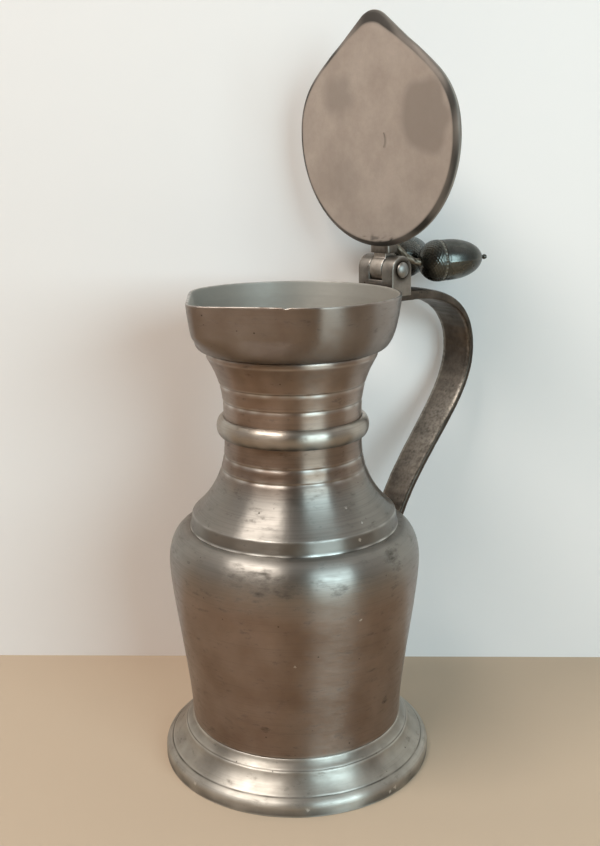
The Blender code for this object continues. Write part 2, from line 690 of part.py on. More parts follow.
def build_handle(collection, cutters, parent):
    """Handle casting: the strap, and two hinge lugs with a slot for the lid's knuckle."""
    handle = build_strap(collection, parent)
    root = HANDLE_BELOW_HINGE + HANDLE_TOP_THICKNESS / 2
    lug_outline = arc((HINGE_X, HINGE_Z), BARREL_RADIUS, 0.0, pi, BARREL_STEPS)
    lug_outline += [
        (HINGE_X - BARREL_RADIUS, HINGE_Z - root),
        (HINGE_X + BARREL_RADIUS, HINGE_Z - root),
    ]
    lugs = extruded("hinge_lugs", lug_outline, HINGE_HALF_LENGTH, cutters, parent)

    slot_radius = BARREL_RADIUS + HINGE_CLEARANCE
    slot_floor = slot_radius * sin(SLOT_FLOOR_ANGLE)
    stop_angle = asin(STOP_DROP / slot_radius)
    far = 2 * BARREL_RADIUS
    slot_outline = arc(
        (HINGE_X, HINGE_Z),
        slot_radius,
        pi + SLOT_FLOOR_ANGLE,
        2 * pi - stop_angle,
        BARREL_STEPS // 2,
    )
    slot_outline += [
        (HINGE_X + far, HINGE_Z - STOP_DROP),
        (HINGE_X + far, HINGE_Z + far),
        (HINGE_X - far, HINGE_Z + far),
        (HINGE_X - far, HINGE_Z - slot_floor),
    ]
    slot = extruded("knuckle_slot", slot_outline, KNUCKLE_WIDTH / 2 + HINGE_CLEARANCE, cutters, parent)
    bore = turned(
        "lug_bore",
        [
            (0.0, 2 * HINGE_HALF_LENGTH),
            (PIN_RADIUS + PIN_CLEARANCE, 2 * HINGE_HALF_LENGTH),
            (PIN_RADIUS + PIN_CLEARANCE, -2 * HINGE_HALF_LENGTH),
            (0.0, -2 * HINGE_HALF_LENGTH),
        ],
        cutters,
        parent,
        closed=False,
        steps=SMALL_STEPS,
        location=(HINGE_X, 0, HINGE_Z),
        rotation=(pi / 2, 0, 0),
    )
    top = RIM_HEIGHT + HINGE_ABOVE_RIM
    collar_room = [(0.0, top), (COLLAR_RADIUS + SEAT_GAP, top)]
    collar_room += [(r + SEAT_GAP, z) for r, z in collar_side()]
    collar_room.append((0.0, COLLAR_BASE))
    drum_room = [(0.0, DRUM_TOP)]
    drum_room += [(r + SEAT_GAP, z) for r, z in drum_shoulder() + drum_side()[1:]]
    drum_room.append((0.0, DRUM_BASE))
    beside_collar = turned("collar_room", collar_room, cutters, parent, closed=False)
    beside_drum = turned("drum_room", drum_room, cutters, parent, closed=False)

    for tool, operation in (
        (lugs, "UNION"),
        (slot, "DIFFERENCE"),
        (bore, "DIFFERENCE"),
        (beside_collar, "DIFFERENCE"),
        (beside_drum, "DIFFERENCE"),
    ):
        hide_as_cutter(tool)
        combine(handle, tool, operation)
    finish(handle, (0.38, 0.37, 0.35), 0.36)


def build_pin(collection, parent):
    """Rivet through the hinge, with a domed head outside each lug."""
    face = HINGE_HALF_LENGTH + PIN_CLEARANCE
    dome = cubic(
        (0.0, face + PIN_HEAD_HEIGHT),
        (PIN_HEAD_RADIUS / 2, face + PIN_HEAD_HEIGHT),
        (PIN_HEAD_RADIUS, face + PIN_HEAD_HEIGHT / 2),
        (PIN_HEAD_RADIUS, face),
        SHORT_STEPS,
    )
    profile = dome + [(PIN_RADIUS, face), (PIN_RADIUS, -face)]
    profile += [(r, -z) for r, z in reversed(dome)]
    item = turned(
        "hinge_pin",
        profile,
        collection,
        parent,
        closed=False,
        steps=SMALL_STEPS,
        location=(HINGE_X, 0, HINGE_Z),
        rotation=(pi / 2, 0, 0),
    )
    finish(item, (0.60, 0.60, 0.59), 0.28)


def lid_rings(margin):
    """Drop-shaped rings of the lid from its underside to its crown, grown by a margin."""
    top = LID_UNDERSIDE + LID_EDGE_THICKNESS
    levels = [
        (-LID_UNDER_CHAMFER, LID_UNDERSIDE - margin),
        (0.0, LID_UNDERSIDE + LID_EDGE_ROUND - margin),
        (0.0, top - LID_EDGE_ROUND + margin),
        (-LID_EDGE_ROUND, top + margin),
    ]
    for share in LID_CROWN_SHARES:
        inset = share * LID_RADIUS
        levels.append((-inset, top + LID_CROWN * (1 - (1 - share) ** 2) + margin))
    rings = []
    for inset, height in levels:
        scale = (LID_RADIUS + inset + margin) / LID_RADIUS
        ring = drop_ring(
            -HINGE_X,
            height,
            MOUTH_STEPS,
            radius=scale * LID_RADIUS,
            shift=scale * LID_FORWARD,
            tip=scale * (BEAK_TIP + LID_OVERHANG),
            tip_radius=scale * BEAK_TIP_RADIUS,
        )
        rings.append(ring)
    return rings


def build_lid(collection, hinge):
    """Drop-shaped lid with a flat underside and a gently crowned top."""
    item = lofted("lid_plate", lid_rings(0.0), collection, hinge)
    finish(item, (0.44, 0.38, 0.33), 0.55)


def build_knuckle(collection, cutters, hinge):
    """Middle hinge barrel with the tongue on the lid's top and the heel that stops the lid."""
    root = -(BARREL_RADIUS + TONGUE_CLEAR_OF_LUGS)
    under = LID_UNDERSIDE + LID_EDGE_THICKNESS / 2
    tongue_top = LID_UNDERSIDE + LID_EDGE_THICKNESS + TONGUE_ROOT_THICKNESS
    tip_top = LID_UNDERSIDE + LID_EDGE_THICKNESS + LID_CROWN / 2 + TONGUE_TIP_THICKNESS / 2
    heel_drop = STOP_DROP - SEAT_GAP
    heel = Vector((BARREL_RADIUS, 0.0, -heel_drop))
    heel.rotate(Matrix.Rotation(-OPEN_ANGLE, 3, "Y"))
    heel_angle = OPEN_ANGLE - asin(heel_drop / BARREL_RADIUS)
    arm_top = tongue_top - ARM_STEP
    arm_under = under + ARM_STEP
    outline = [(heel.x, heel.z)]
    outline += arc(
        (0.0, 0.0),
        BARREL_RADIUS,
        OPEN_ANGLE,
        pi - asin(arm_top / BARREL_RADIUS),
        BARREL_STEPS // 2,
    )
    outline += [(2 * root, arm_top), (2 * root, arm_under)]
    outline += arc(
        (0.0, 0.0),
        BARREL_RADIUS,
        pi - asin(arm_under / BARREL_RADIUS),
        2 * pi + heel_angle,
        BARREL_STEPS,
    )
    knuckle = extruded("lid_knuckle", outline, KNUCKLE_WIDTH / 2, collection, hinge)
    tongue_outline = [
        (root, tongue_top),
        (-TONGUE_REACH, tip_top),
        (-TONGUE_REACH, under),
        (root, under),
    ]
    tongue = extruded("lid_tongue", tongue_outline, TONGUE_WIDTH / 2, cutters, hinge)
    lid_room = lofted("lid_room", lid_rings(SEAT_GAP), cutters, hinge)
    bore = turned(
        "knuckle_bore",
        [
            (0.0, KNUCKLE_WIDTH),
            (PIN_RADIUS + PIN_CLEARANCE, KNUCKLE_WIDTH),
            (PIN_RADIUS + PIN_CLEARANCE, -KNUCKLE_WIDTH),
            (0.0, -KNUCKLE_WIDTH),
        ],
        cutters,
        hinge,
        closed=False,
        steps=SMALL_STEPS,
        rotation=(pi / 2, 0, 0),
    )
    for tool, operation in (
        (tongue, "UNION"),
        (lid_room, "DIFFERENCE"),
        (bore, "DIFFERENCE"),
    ):
        hide_as_cutter(tool)
        combine(knuckle, tool, operation)
    finish(knuckle, (0.44, 0.39, 0.34), 0.38)
    return tongue_top


def build_twigs(collection, hinge, seat):
    """Forked twig: one bent rod that lies on the tongue and rises to both acorns."""
    bottom = seat + SEAT_GAP + TWIG_RADIUS
    root = -(BARREL_RADIUS + TONGUE_CLEAR_OF_LUGS + TWIG_RADIUS)
    reach = ACORN_BASE_DISTANCE - SEAT_GAP
    end = Vector((-ACORN_SETBACK, reach * sin(ACORN_SPLAY), reach * cos(ACORN_SPLAY)))
    low = Vector((root, TWIG_SPREAD, bottom))
    lean = Vector((0.0, sin(ACORN_SPLAY), cos(ACORN_SPLAY)))
    before_end = end - lean * (end.z - low.z) / 2
    branch = []
    for step in range(CURVE_STEPS + 1):
        t = step / CURVE_STEPS
        branch.append(low * (1 - t) ** 2 + before_end * 2 * t * (1 - t) + end * t * t)
    mirrored = [Vector((p.x, -p.y, p.z)) for p in reversed(branch)]
    curve = bpy.data.curves.new("acorn_twigs", "CURVE")
    curve.dimensions = "3D"
    curve.bevel_depth = TWIG_RADIUS
    curve.bevel_resolution = 2
    curve.use_fill_caps = True
    route = mirrored + branch
    spline = curve.splines.new("POLY")
    spline.points.add(len(route) - 1)
    for point, place in zip(spline.points, route):
        point.co = (*place, 1.0)
    item = link("acorn_twigs", curve, collection, hinge)
    finish(item, (0.36, 0.35, 0.32), 0.38)


def acorn_profile():
    """Acorn from the tip of its nub down its nut and its cap to its base, along Z."""
    rim = ACORN_CAP_LENGTH
    tip = rim + ACORN_NUT_LENGTH
    end = tip + ACORN_NUB_LENGTH
    ball = end - ACORN_NUB_RADIUS
    nub = arc((0.0, ball), ACORN_NUB_RADIUS, pi / 2, -pi / 4, SHORT_STEPS)
    nub[0] = (0.0, end)
    nut = cubic(
        (ACORN_NUB_RADIUS * cos(pi / 4), tip),
        (ACORN_NUT_RADIUS * NUT_TIP_SPREAD, tip - ACORN_NUT_LENGTH * NUT_TIP_DROP),
        (ACORN_NUT_RADIUS * NUT_SWELL, rim + ACORN_NUT_LENGTH * NUT_SWELL_HEIGHT),
        (ACORN_NUT_RADIUS, rim),
        CURVE_STEPS,
    )
    cap = cubic(
        (ACORN_CAP_RADIUS, rim - LINE_DEPTH),
        (ACORN_CAP_RADIUS * CAP_SWELL, rim * CAP_SWELL_HEIGHT),
        (ACORN_CAP_RADIUS * CAP_BASE_SPREAD, rim * CAP_BASE_RISE),
        (ACORN_BASE_RADIUS, 0.0),
        CURVE_STEPS,
    )
    return nub + nut + [(ACORN_CAP_RADIUS - LINE_DEPTH / 2, rim)] + cap + [(0.0, 0.0)]


def build_acorns(collection, hinge):
    """Two acorns, cap and nut in one casting, splayed from the hinge."""
    for name, side in (("acorn_left", -1), ("acorn_right", 1)):
        lean = side * ACORN_SPLAY
        place = (
            -ACORN_SETBACK,
            ACORN_BASE_DISTANCE * sin(lean),
            ACORN_BASE_DISTANCE * cos(lean),
        )
        item = turned(
            name,
            acorn_profile(),
            collection,
            hinge,
            closed=False,
            steps=SMALL_STEPS,
            location=place,
            rotation=(-lean, 0, 0),
        )
        finish(item, (0.17, 0.18, 0.17), 0.26)


remove_all_objects()
jug_parts = new_collection("lidded_jug")
jug_cutters = new_collection("lidded_jug_cutters")
jug_axis = link("jug_axis", None, jug_parts, location=(AXIS_X, 0, 0))
lid_hinge = link(
    "lid_hinge",
    None,
    jug_parts,
    jug_axis,
    location=(HINGE_X, 0, HINGE_Z),
    rotation=(0, OPEN_ANGLE, 0),
)
build_foot(jug_parts, jug_axis)
build_base(jug_parts, jug_axis)
build_drum(jug_parts, jug_axis)
build_cone(jug_parts, jug_axis)
build_bead(jug_parts, jug_axis)
build_upper_neck(jug_parts, jug_axis)
build_collar(jug_parts, jug_axis)
build_handle(jug_parts, jug_cutters, jug_axis)
build_pin(jug_parts, jug_axis)
build_lid(jug_parts, lid_hinge)
twig_seat = build_knuckle(jug_parts, jug_cutters, lid_hinge)
build_twigs(jug_parts, lid_hinge, twig_seat)
build_acorns(jug_parts, lid_hinge)
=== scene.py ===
from math import asin, cos, pi, radians, sin

import bmesh
import bpy
import numpy as np
from mathutils import Matrix, Vector


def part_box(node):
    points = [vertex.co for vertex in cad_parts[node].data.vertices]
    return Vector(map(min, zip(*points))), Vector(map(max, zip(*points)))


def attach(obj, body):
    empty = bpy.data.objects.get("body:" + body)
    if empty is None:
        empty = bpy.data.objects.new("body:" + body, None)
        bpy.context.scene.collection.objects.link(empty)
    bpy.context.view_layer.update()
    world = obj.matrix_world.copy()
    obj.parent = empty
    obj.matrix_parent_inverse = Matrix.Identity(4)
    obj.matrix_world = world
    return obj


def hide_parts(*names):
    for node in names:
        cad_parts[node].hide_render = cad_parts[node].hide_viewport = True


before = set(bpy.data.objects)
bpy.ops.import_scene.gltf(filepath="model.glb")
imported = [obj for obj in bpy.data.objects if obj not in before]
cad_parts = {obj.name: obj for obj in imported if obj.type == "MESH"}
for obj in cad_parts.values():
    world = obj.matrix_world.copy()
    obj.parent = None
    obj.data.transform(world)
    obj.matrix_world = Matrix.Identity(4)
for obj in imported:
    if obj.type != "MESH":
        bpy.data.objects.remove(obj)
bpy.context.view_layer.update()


# Foot ring: the spreading foot that the jug stands on, cast in pewter, turned on the lathe and
# soldered under the belly. Its edges are rubbed bright, and its turned grooves hold dark polish.
# Its lower edge has painted shade, darker towards the bottom.
MM = 0.001
FOOT_EDGE = 4.2 * MM
FOOT_LIP = 3.3 * MM
FOOT_OGEE = (6.8 * MM, 8.0 * MM)
FOOT_COVE = 3.3 * MM
FOOT_WALL = 3.0 * MM
FOOT_REST = 5.0 * MM
FOOT_SLOPE = pi / 4
FOOT_GROOVE = (0.8 * MM, 0.35 * MM)
COVE_GAP = (0.1 * MM, 0.0)
COVE_EASES = ((0.5 * MM, -1.6 * MM), (-1.4 * MM, 0.7 * MM))
OGEE_EASES = ((0.12, 0.42), (0.5, 0.26))
LIP_EASES = ((0.6, 0.25), (0.1, 0.5))
DRUM_BASE_RADIUS = 47.6 * MM
DRUM_WALL = 2.0 * MM
FINE_SPACING = 0.34 * MM
EDGE_WEAR = 0.26 * MM
ROUND_STEPS = 224
RIPPLE_WAVES = 24
# A ripple is a wave's length along the piece, the most waves round it and, for one piece, a seed.
SLOW_RIPPLE = (90.0 * MM, 4)
PATCH_RIPPLE = (14.0 * MM, 30)
# The rub on edges and the grime in grooves: how fast each grows with the bend, and its limit.
EDGE_RUB = (1.6, 0.5)
GROOVE_GRIME = (4.0, 0.8)
# Painted shade on what faces down.
UNDER_SHADE = 0.55
# Painted shade on the foot's lower edge.
FOOT_EDGE_SHADE = 0.6
FOOT_NICKS = (
    (-178.2, 60.3, 4.7, 0.9),
    (-127.1, 60.4, 3.6, 1.1),
    (-87.2, 60.3, 2.9, 1.0),
    (-90.3, 60.5, 2.0, 0.8),
)
# Each piece's pewter is a light tone, a dark tone and a roughness.
FOOT_PEWTER = ("#c0bab0", "#918b82", 0.42)
BRIGHT_PEWTER = "#e2dfd8"
DULL_PEWTER = "#b4b3ad"
# The dark of old polish, scuffs and pits, and of painted shade.
POLISH_AND_SHADE = "#2c261f"
# A lighter, neutral tone painted as a reflection of the pale room above.
ROOM_REFLECTION_TONE = "#8b867f"

foot_low, foot_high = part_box("foot_ring")
AXIS_X = (foot_low.x + foot_high.x) / 2
FOOT_RADIUS = (foot_high.y - foot_low.y) / 2
FOOT_TOP = foot_high.z
UPRIGHT = ((AXIS_X, 0, 0), (1, 0, 0), (0, 1, 0), (0, 0, 1))


def linear(colour):
    """The linear colour of an sRGB hex code: each part over 255, then the sRGB curve undone."""
    parts = np.array([int(colour[i : i + 2], 16) for i in (1, 3, 5)]) / 255
    curved = ((parts + 0.055) / 1.055) ** 2.4
    return (*np.where(parts <= 0.04045, parts / 12.92, curved), 1.0)


def cubic(start, start_handle, end_handle, end, count=80):
    """Points of a cubic curve: its ends and handles weighted by the cubic Bernstein polynomials."""
    t = np.linspace(0, 1, count)[:, None]
    ends = (1 - t) ** 3 * np.array(start) + t**3 * np.array(end)
    handles = (1 - t) * np.array(start_handle) + t * np.array(end_handle)
    return ends + 3 * t * (1 - t) * handles


def eased_slope(upper, lower, eases):
    """A curved slope: a cubic curve whose handles are shares of the slope's width and height."""
    size = np.array(lower) - np.array(upper)
    return cubic(upper, upper + size * eases[0], lower - size * eases[1], lower)


def groove(point, width, depth, lean):
    """A turned line: a notch of the tool's width and depth, along a slope that faces up by lean.

    Its deepest place lies a quarter of the way down, so its wide lower side faces up.
    """
    along = np.array([sin(lean), -cos(lean)]) * width / 2
    inward = np.array([cos(lean), sin(lean)]) * depth
    return np.array([point - along, point - along / 2 - inward, point + along])


def worn_outline(stretches, spacing=FINE_SPACING, ease=EDGE_WEAR):
    """A closed outline of radius and height, resampled evenly and rounded off as if worn.

    The rounding is a bell-shaped running mean of width ease over the outline's length. Returned
    with it are its outward normals and its bend: the turn within one ease, positive on edges and
    negative in grooves. The outline runs down its outer side.
    """
    corners = np.vstack([*map(np.atleast_2d, stretches), np.atleast_2d(stretches[0])[:1]])
    steps = np.linalg.norm(np.diff(corners, axis=0), axis=1)
    along = np.concatenate([[0.0], np.cumsum(steps)])
    count = 2 * round(along[-1] / spacing / 2)
    places = np.linspace(0, along[-1], count, endpoint=False)
    even = np.interp(places, along, corners[:, 0]) + 1j * np.interp(places, along, corners[:, 1])
    step = along[-1] / count
    bell = np.exp(-2 * (pi * np.fft.fftfreq(count, step) * ease) ** 2)
    worn = np.fft.ifft(np.fft.fft(even) * bell)
    heading = np.roll(worn, -1) - np.roll(worn, 1)
    turn = np.angle(np.roll(heading, 1) / np.roll(heading, -1))
    normal = 1j * heading / abs(heading)
    line, normal = (np.column_stack([found.real, found.imag]) for found in (worn, normal))
    return line, normal, (turn * ease / (2 * step))[:, None]


def once_round(count):
    """Even angles once round, as a row."""
    return np.linspace(0, 2 * pi, count, endpoint=False)[None, :]


def ripple(angle, height, length, finest, seed):
    """Gentle unevenness: cosine waves of random turns round and rises along a piece, added up and
    divided by the root of their number."""
    chance = np.random.default_rng(seed)
    turns = chance.integers(-finest, finest + 1, RIPPLE_WAVES)
    rises = chance.normal(0, 2 * pi / length, RIPPLE_WAVES)
    phases = chance.uniform(0, 2 * pi, RIPPLE_WAVES)
    waves = turns * angle[..., None] + rises * height[..., None] + phases
    return np.cos(waves).sum(axis=-1) / RIPPLE_WAVES**0.5


def about_axis(radius, angle, along, axis):
    """Points at a radius and an angle round an axis, and some way along it.

    The axis is a place and three directions: across, sideways and along it.
    """
    place, across, sideways, lengthwise = map(np.array, axis)
    flat = (radius * np.cos(angle))[..., None] * across + (radius * np.sin(angle))[..., None] * sideways
    return place + flat + along[..., None] * lengthwise


def surface(name, points, ring=True, **attributes):
    """A mesh over a grid of points, with rows along the shape and columns round it.

    Columns close on themselves. Rows do too on a ring; otherwise the first and last rows are
    poles, each merged into one vertex. The UV map runs along the rows, then round the columns.
    """
    rows, columns = points.shape[:2]
    index = np.arange(rows * columns).reshape(rows, columns)
    index = np.vstack([index, index[:1]]) if ring else index
    right = np.roll(index, -1, axis=1)
    quads = np.stack([index[:-1], right[:-1], right[1:], index[1:]], axis=-1)
    across, along = np.meshgrid(np.arange(columns), np.arange(len(quads)))
    sweep = np.stack([across, across + 1, across + 1, across], axis=-1) / columns
    rise = np.stack([along, along, along + 1, along + 1], axis=-1) / len(quads)
    uv = np.stack([rise, sweep], axis=-1).reshape(-1, 4, 2)
    quads = quads.reshape(-1, 4)
    flat = points.reshape(-1, 3)
    corner = flat[quads] - flat.mean(axis=0)
    spread = np.cross(corner[:, 2] - corner[:, 0], corner[:, 3] - corner[:, 1])
    if (corner.mean(axis=1) * spread).sum() < 0:
        quads, uv = quads[:, ::-1], uv[:, ::-1]
    mesh = bpy.data.meshes.new(name)
    mesh.vertices.add(len(flat))
    mesh.vertices.foreach_set("co", flat.ravel())
    mesh.loops.add(quads.size)
    mesh.loops.foreach_set("vertex_index", quads.ravel())
    mesh.polygons.add(len(quads))
    mesh.polygons.foreach_set("loop_start", np.arange(0, quads.size, 4))
    mesh.uv_layers.new(name="turning").data.foreach_set("uv", uv.ravel())
    for key, values in attributes.items():
        layer = mesh.attributes.new(key, "FLOAT", "POINT")
        layer.data.foreach_set("value", np.broadcast_to(values, (rows, columns)).ravel())
    mesh.update(calc_edges=True)
    if not ring:
        shape = bmesh.new()
        shape.from_mesh(mesh)
        bmesh.ops.remove_doubles(shape, verts=shape.verts, dist=0.001 * MM)
        shape.to_mesh(mesh)
        shape.free()
    mesh.shade_smooth()
    piece = bpy.data.objects.new(name, mesh)
    bpy.context.scene.collection.objects.link(piece)
    return piece


def turned(name, outline, seed, columns=ROUND_STEPS, swell=0.05 * MM, polish=1.0, painted_highlight=0.0, painted_shade=0.0):
    """A worn outline carried round the jug's axis.

    Its radius swells by a slow ripple. Its bent edges are marked as wear, with any painted
    highlight added, its grooves as grime, times the old polish left in them, and the side towards
    the axis as inside. What faces down gets painted shade, and any other painted shade is added.
    """
    line, normal, bend = outline
    height = line[:, 1:]
    angle = once_round(columns)
    outer = np.clip(normal[:, :1] * 2 + 1, 0, 1)
    patchy = ripple(angle, height, *PATCH_RIPPLE, seed + 1)
    radius = line[:, :1] + outer * swell * (ripple(angle, height, *SLOW_RIPPLE, seed) - 2)
    # Wear on bent edges, with the painted highlight added on the outside.
    rubbed = np.clip(EDGE_RUB[0] * bend, 0, EDGE_RUB[1]) + painted_highlight * outer
    # Painted shade on what faces down, above the foot's edge.
    under = UNDER_SHADE * np.clip(-normal[:, 1:], 0, 1) * (height > FOOT_EDGE)
    dirt_and_shade = polish * np.clip(-GROOVE_GRIME[0] * bend, 0, GROOVE_GRIME[1]) + under + painted_shade
    return surface(
        name,
        about_axis(radius, angle, height, UPRIGHT),
        wear=rubbed * np.clip(0.6 + 0.4 * patchy, 0, 1),
        grime=np.clip(dirt_and_shade, 0, 1) * np.clip(0.8 + 0.25 * patchy, 0, 1),
        inside=np.clip(-2 * normal[:, :1], 0, 1),
    )


def connect(tree, node, inputs):
    """Gives each named input of a node its value or its link."""
    for socket, value in dict(inputs).items():
        if isinstance(value, bpy.types.NodeSocket):
            tree.links.new(value, node.inputs[socket])
        else:
            node.inputs[socket].default_value = value


def add(tree, kind, inputs=(), out=0, **settings):
    """A node of a kind with its settings, values and links. One of its outputs is returned."""
    made = tree.nodes.new("ShaderNode" + kind)
    for key, value in settings.items():
        setattr(made, key, value)
    connect(tree, made, inputs)
    return made.outputs[out]


def layered(tree, ground, layers):
    """A ground colour under layers of other colours, each mixed over the last by its amount."""
    colour = linear(ground)
    for amount, layer in layers:
        colour = add(tree, "MixRGB", {"Fac": amount, "Color1": colour, "Color2": linear(layer)})
    return colour


def new_metal(name, *marks):
    """A new material with its tree, the places on its piece and the piece's marks by name."""
    metal = bpy.data.materials.new(name)
    metal.use_nodes = True
    tree = metal.node_tree
    place = add(tree, "TexCoord", out="Object")
    return metal, tree, place, *(add(tree, "Attribute", out="Fac", attribute_name=mark) for mark in marks)


def marks_at(tree, place, marks):
    """How deep a point lies in any mark: 1 in its middle, falling to 0 at its edge.

    A mark is a turn in degrees round the jug's axis and a radius, a height and a size in mm.
    """
    deepest = 0.0
    for turn, *lengths in marks:
        radius, height, size = (length * MM for length in lengths)
        centre = (AXIS_X + radius * cos(radians(turn)), radius * sin(radians(turn)), height)
        away = add(tree, "VectorMath", {0: place, 1: centre}, "Value", operation="DISTANCE")
        near = add(tree, "MapRange", {"Value": away, "From Min": size, "From Max": size / 2})
        deepest = add(tree, "Math", {0: near, 1: deepest}, operation="MAXIMUM")
    return deepest


def turned_pewter(name, tone, shade, roughness, inner=DULL_PEWTER, nicks=(), rubs=(), reflection_heights=(1.0, 2.0)):
    """Pewter off the lathe: satin, with fine lines round it that draw lights out along the piece,
    a brown bloom from handling, its brown partly a painted reflection of the ground below, that
    gives way between the two heights to a lighter, neutral painted reflection of the pale room,
    dark scuffs and pits, most of all in its rubs, bright edges and nicks with any painted
    highlight, and dark grooves with any painted shade."""
    metal, tree, place, wear, grime, inside = new_metal(name, "wear", "grime", "inside")

    # Bloom in patches of about 18 mm.
    patch = add(tree, "TexNoise", {"Vector": place, "Scale": 1 / (18 * MM), "Detail": 4})
    bloom = add(tree, "MapRange", {"Value": patch, "From Min": 0.3, "From Max": 0.7})
    # Between the two heights the colour turns to a painted reflection of the pale room.
    height = add(tree, "SeparateXYZ", {"Vector": place}, "Z")
    painted_reflection = add(tree, "MapRange", {"Value": height, "From Min": reflection_heights[0], "From Max": reflection_heights[1]})

    # Tool lines 0.2 mm apart on the real piece, drawn 0.5 mm apart so that they show.
    stretch = (1 / (60 * MM), 1 / (60 * MM), 1 / (0.5 * MM))
    drawn = add(tree, "Mapping", {"Vector": place, "Scale": stretch})
    lines = add(tree, "TexNoise", {"Vector": drawn, "Scale": 1.0, "Detail": 3})
    line = add(tree, "MapRange", {"Value": lines, "From Min": 0.45, "From Max": 0.8, "To Max": 0.2})

    # Scuffs about 2 mm high and three times as long round the piece, most of all in the rubs. The
    # marks at given places are made ragged by up to 1 mm.
    grit = add(tree, "TexNoise", {"Vector": place, "Scale": 1 / (0.8 * MM), "Detail": 2}, "Color")
    ragged = add(tree, "VectorMath", {0: grit, 1: [2 * MM] * 3, 2: place}, operation="MULTIPLY_ADD")
    ragged = add(tree, "VectorMath", {0: ragged, 1: [MM] * 3}, operation="SUBTRACT")
    stretch = (1 / (7 * MM), 1 / (7 * MM), 1 / (2.4 * MM))
    long_drawn = add(tree, "Mapping", {"Vector": place, "Scale": stretch})
    scuff = add(tree, "TexNoise", {"Vector": long_drawn, "Scale": 1.0, "Detail": 5, "Roughness": 0.7})
    in_rubs = marks_at(tree, ragged, rubs)
    rubbed = add(tree, "Math", {0: in_rubs, 1: 0.17, 2: scuff}, operation="MULTIPLY_ADD")
    scuffed = add(tree, "MapRange", {"Value": rubbed, "From Min": 0.56, "From Max": 0.9, "To Max": 0.8})

    # Pits about 0.7 mm wide, in about a fifth of the cells of 5 mm.
    cells = add(tree, "TexVoronoi", {"Vector": place, "Scale": 1 / (5 * MM)})
    pit = add(tree, "MapRange", {"Value": cells, "From Min": 0.1, "From Max": 0.04})
    lot = cells.node.outputs["Color"]
    chosen = add(tree, "MapRange", {"Value": lot, "From Min": 0.66, "From Max": 0.7, "To Max": 0.8})
    pitted = add(tree, "Math", {0: pit, 1: chosen}, operation="MULTIPLY")
    dark = 0.0
    for mark in (line, scuffed, pitted):
        dark = add(tree, "Math", {0: mark, 1: dark}, operation="MAXIMUM")
    dark = add(tree, "Math", {0: dark, 1: inside}, operation="SUBTRACT")
    # Grooves' old polish and painted shade come in by the grime attribute.
    dark = add(tree, "Math", {0: dark, 1: grime}, operation="MAXIMUM")
    nicked = add(tree, "Math", {0: marks_at(tree, ragged, nicks), 1: 0.6}, operation="MULTIPLY")
    # Wear, nicks and any painted highlight are lightened together.
    worn = add(tree, "Math", {0: wear, 1: nicked}, operation="MAXIMUM")
    layers = (bloom, tone), (painted_reflection, ROOM_REFLECTION_TONE), (inside, inner), (dark, POLISH_AND_SHADE), (worn, BRIGHT_PEWTER)

    satin = {"To Min": roughness - 0.06, "To Max": roughness + 0.08}
    rough = add(tree, "MapRange", {"Value": scuff, "From Min": 0.3, "From Max": 0.7, **satin})
    rough = add(tree, "Math", {0: inside, 1: 0.3, 2: rough}, operation="MULTIPLY_ADD")
    rough = add(tree, "Math", {0: dark, 1: 0.15, 2: rough}, operation="MULTIPLY_ADD")
    relief = add(tree, "Bump", {"Height": lines, "Distance": 0.03 * MM, "Strength": 0.8})
    scraped = {"Height": scuffed, "Normal": relief, "Distance": 0.08 * MM, "Strength": 0.6}
    finish = {
        "Base Color": layered(tree, shade, layers),
        "Roughness": rough,
        "Metallic": add(tree, "MapRange", {"Value": inside, "To Min": 1.0, "To Max": 0.45}),
        "Normal": add(tree, "Bump", scraped, invert=True),
        "Tangent": add(tree, "Tangent", direction_type="UV_MAP", uv_map="turning"),
        "Anisotropic": 0.86,
    }
    connect(tree, tree.nodes["Principled BSDF"], finish)
    return metal


drum_low, drum_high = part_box("body_drum")
cove_top = np.array([DRUM_BASE_RADIUS, FOOT_TOP])
ogee_top = np.array([DRUM_BASE_RADIUS + FOOT_COVE, FOOT_EDGE + FOOT_LIP + FOOT_OGEE[1]])
ogee_foot = ogee_top + np.array([FOOT_OGEE[0], -FOOT_OGEE[1]])
upper_groove = groove(ogee_top, *FOOT_GROOVE, FOOT_SLOPE)
lower_groove = groove(ogee_foot, *FOOT_GROOVE, FOOT_SLOPE)
cove_foot = upper_groove[0]
foot_inset = FOOT_WALL * cos(FOOT_SLOPE)
foot_seat = DRUM_BASE_RADIUS - 2 * DRUM_WALL
foot_outline = worn_outline(
    [
        (foot_seat, drum_low.z),
        (DRUM_BASE_RADIUS, drum_low.z),
        cubic(cove_top + COVE_GAP, cove_top + COVE_EASES[0], cove_foot + COVE_EASES[1], cove_foot),
        upper_groove,
        eased_slope(upper_groove[-1], lower_groove[0], OGEE_EASES),
        lower_groove,
        eased_slope(lower_groove[-1], (FOOT_RADIUS, FOOT_EDGE), LIP_EASES),
        (FOOT_RADIUS, 0.0),
        (FOOT_RADIUS - FOOT_REST, 0.0),
        ogee_foot - foot_inset,
        ogee_top - foot_inset,
        (foot_seat, FOOT_TOP - FOOT_WALL),
    ]
)
# Painted shade on the foot's lower edge, darker towards the bottom.
edge_shade = FOOT_EDGE_SHADE * np.clip(1.3 - foot_outline[0][:, 1:] / FOOT_EDGE, 0, 1)
foot = turned("foot_ring", foot_outline, 11, painted_shade=edge_shade)
foot.data.materials.append(turned_pewter("turned_pewter_foot", *FOOT_PEWTER, nicks=FOOT_NICKS))
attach(foot, "jug")
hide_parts("foot_ring")


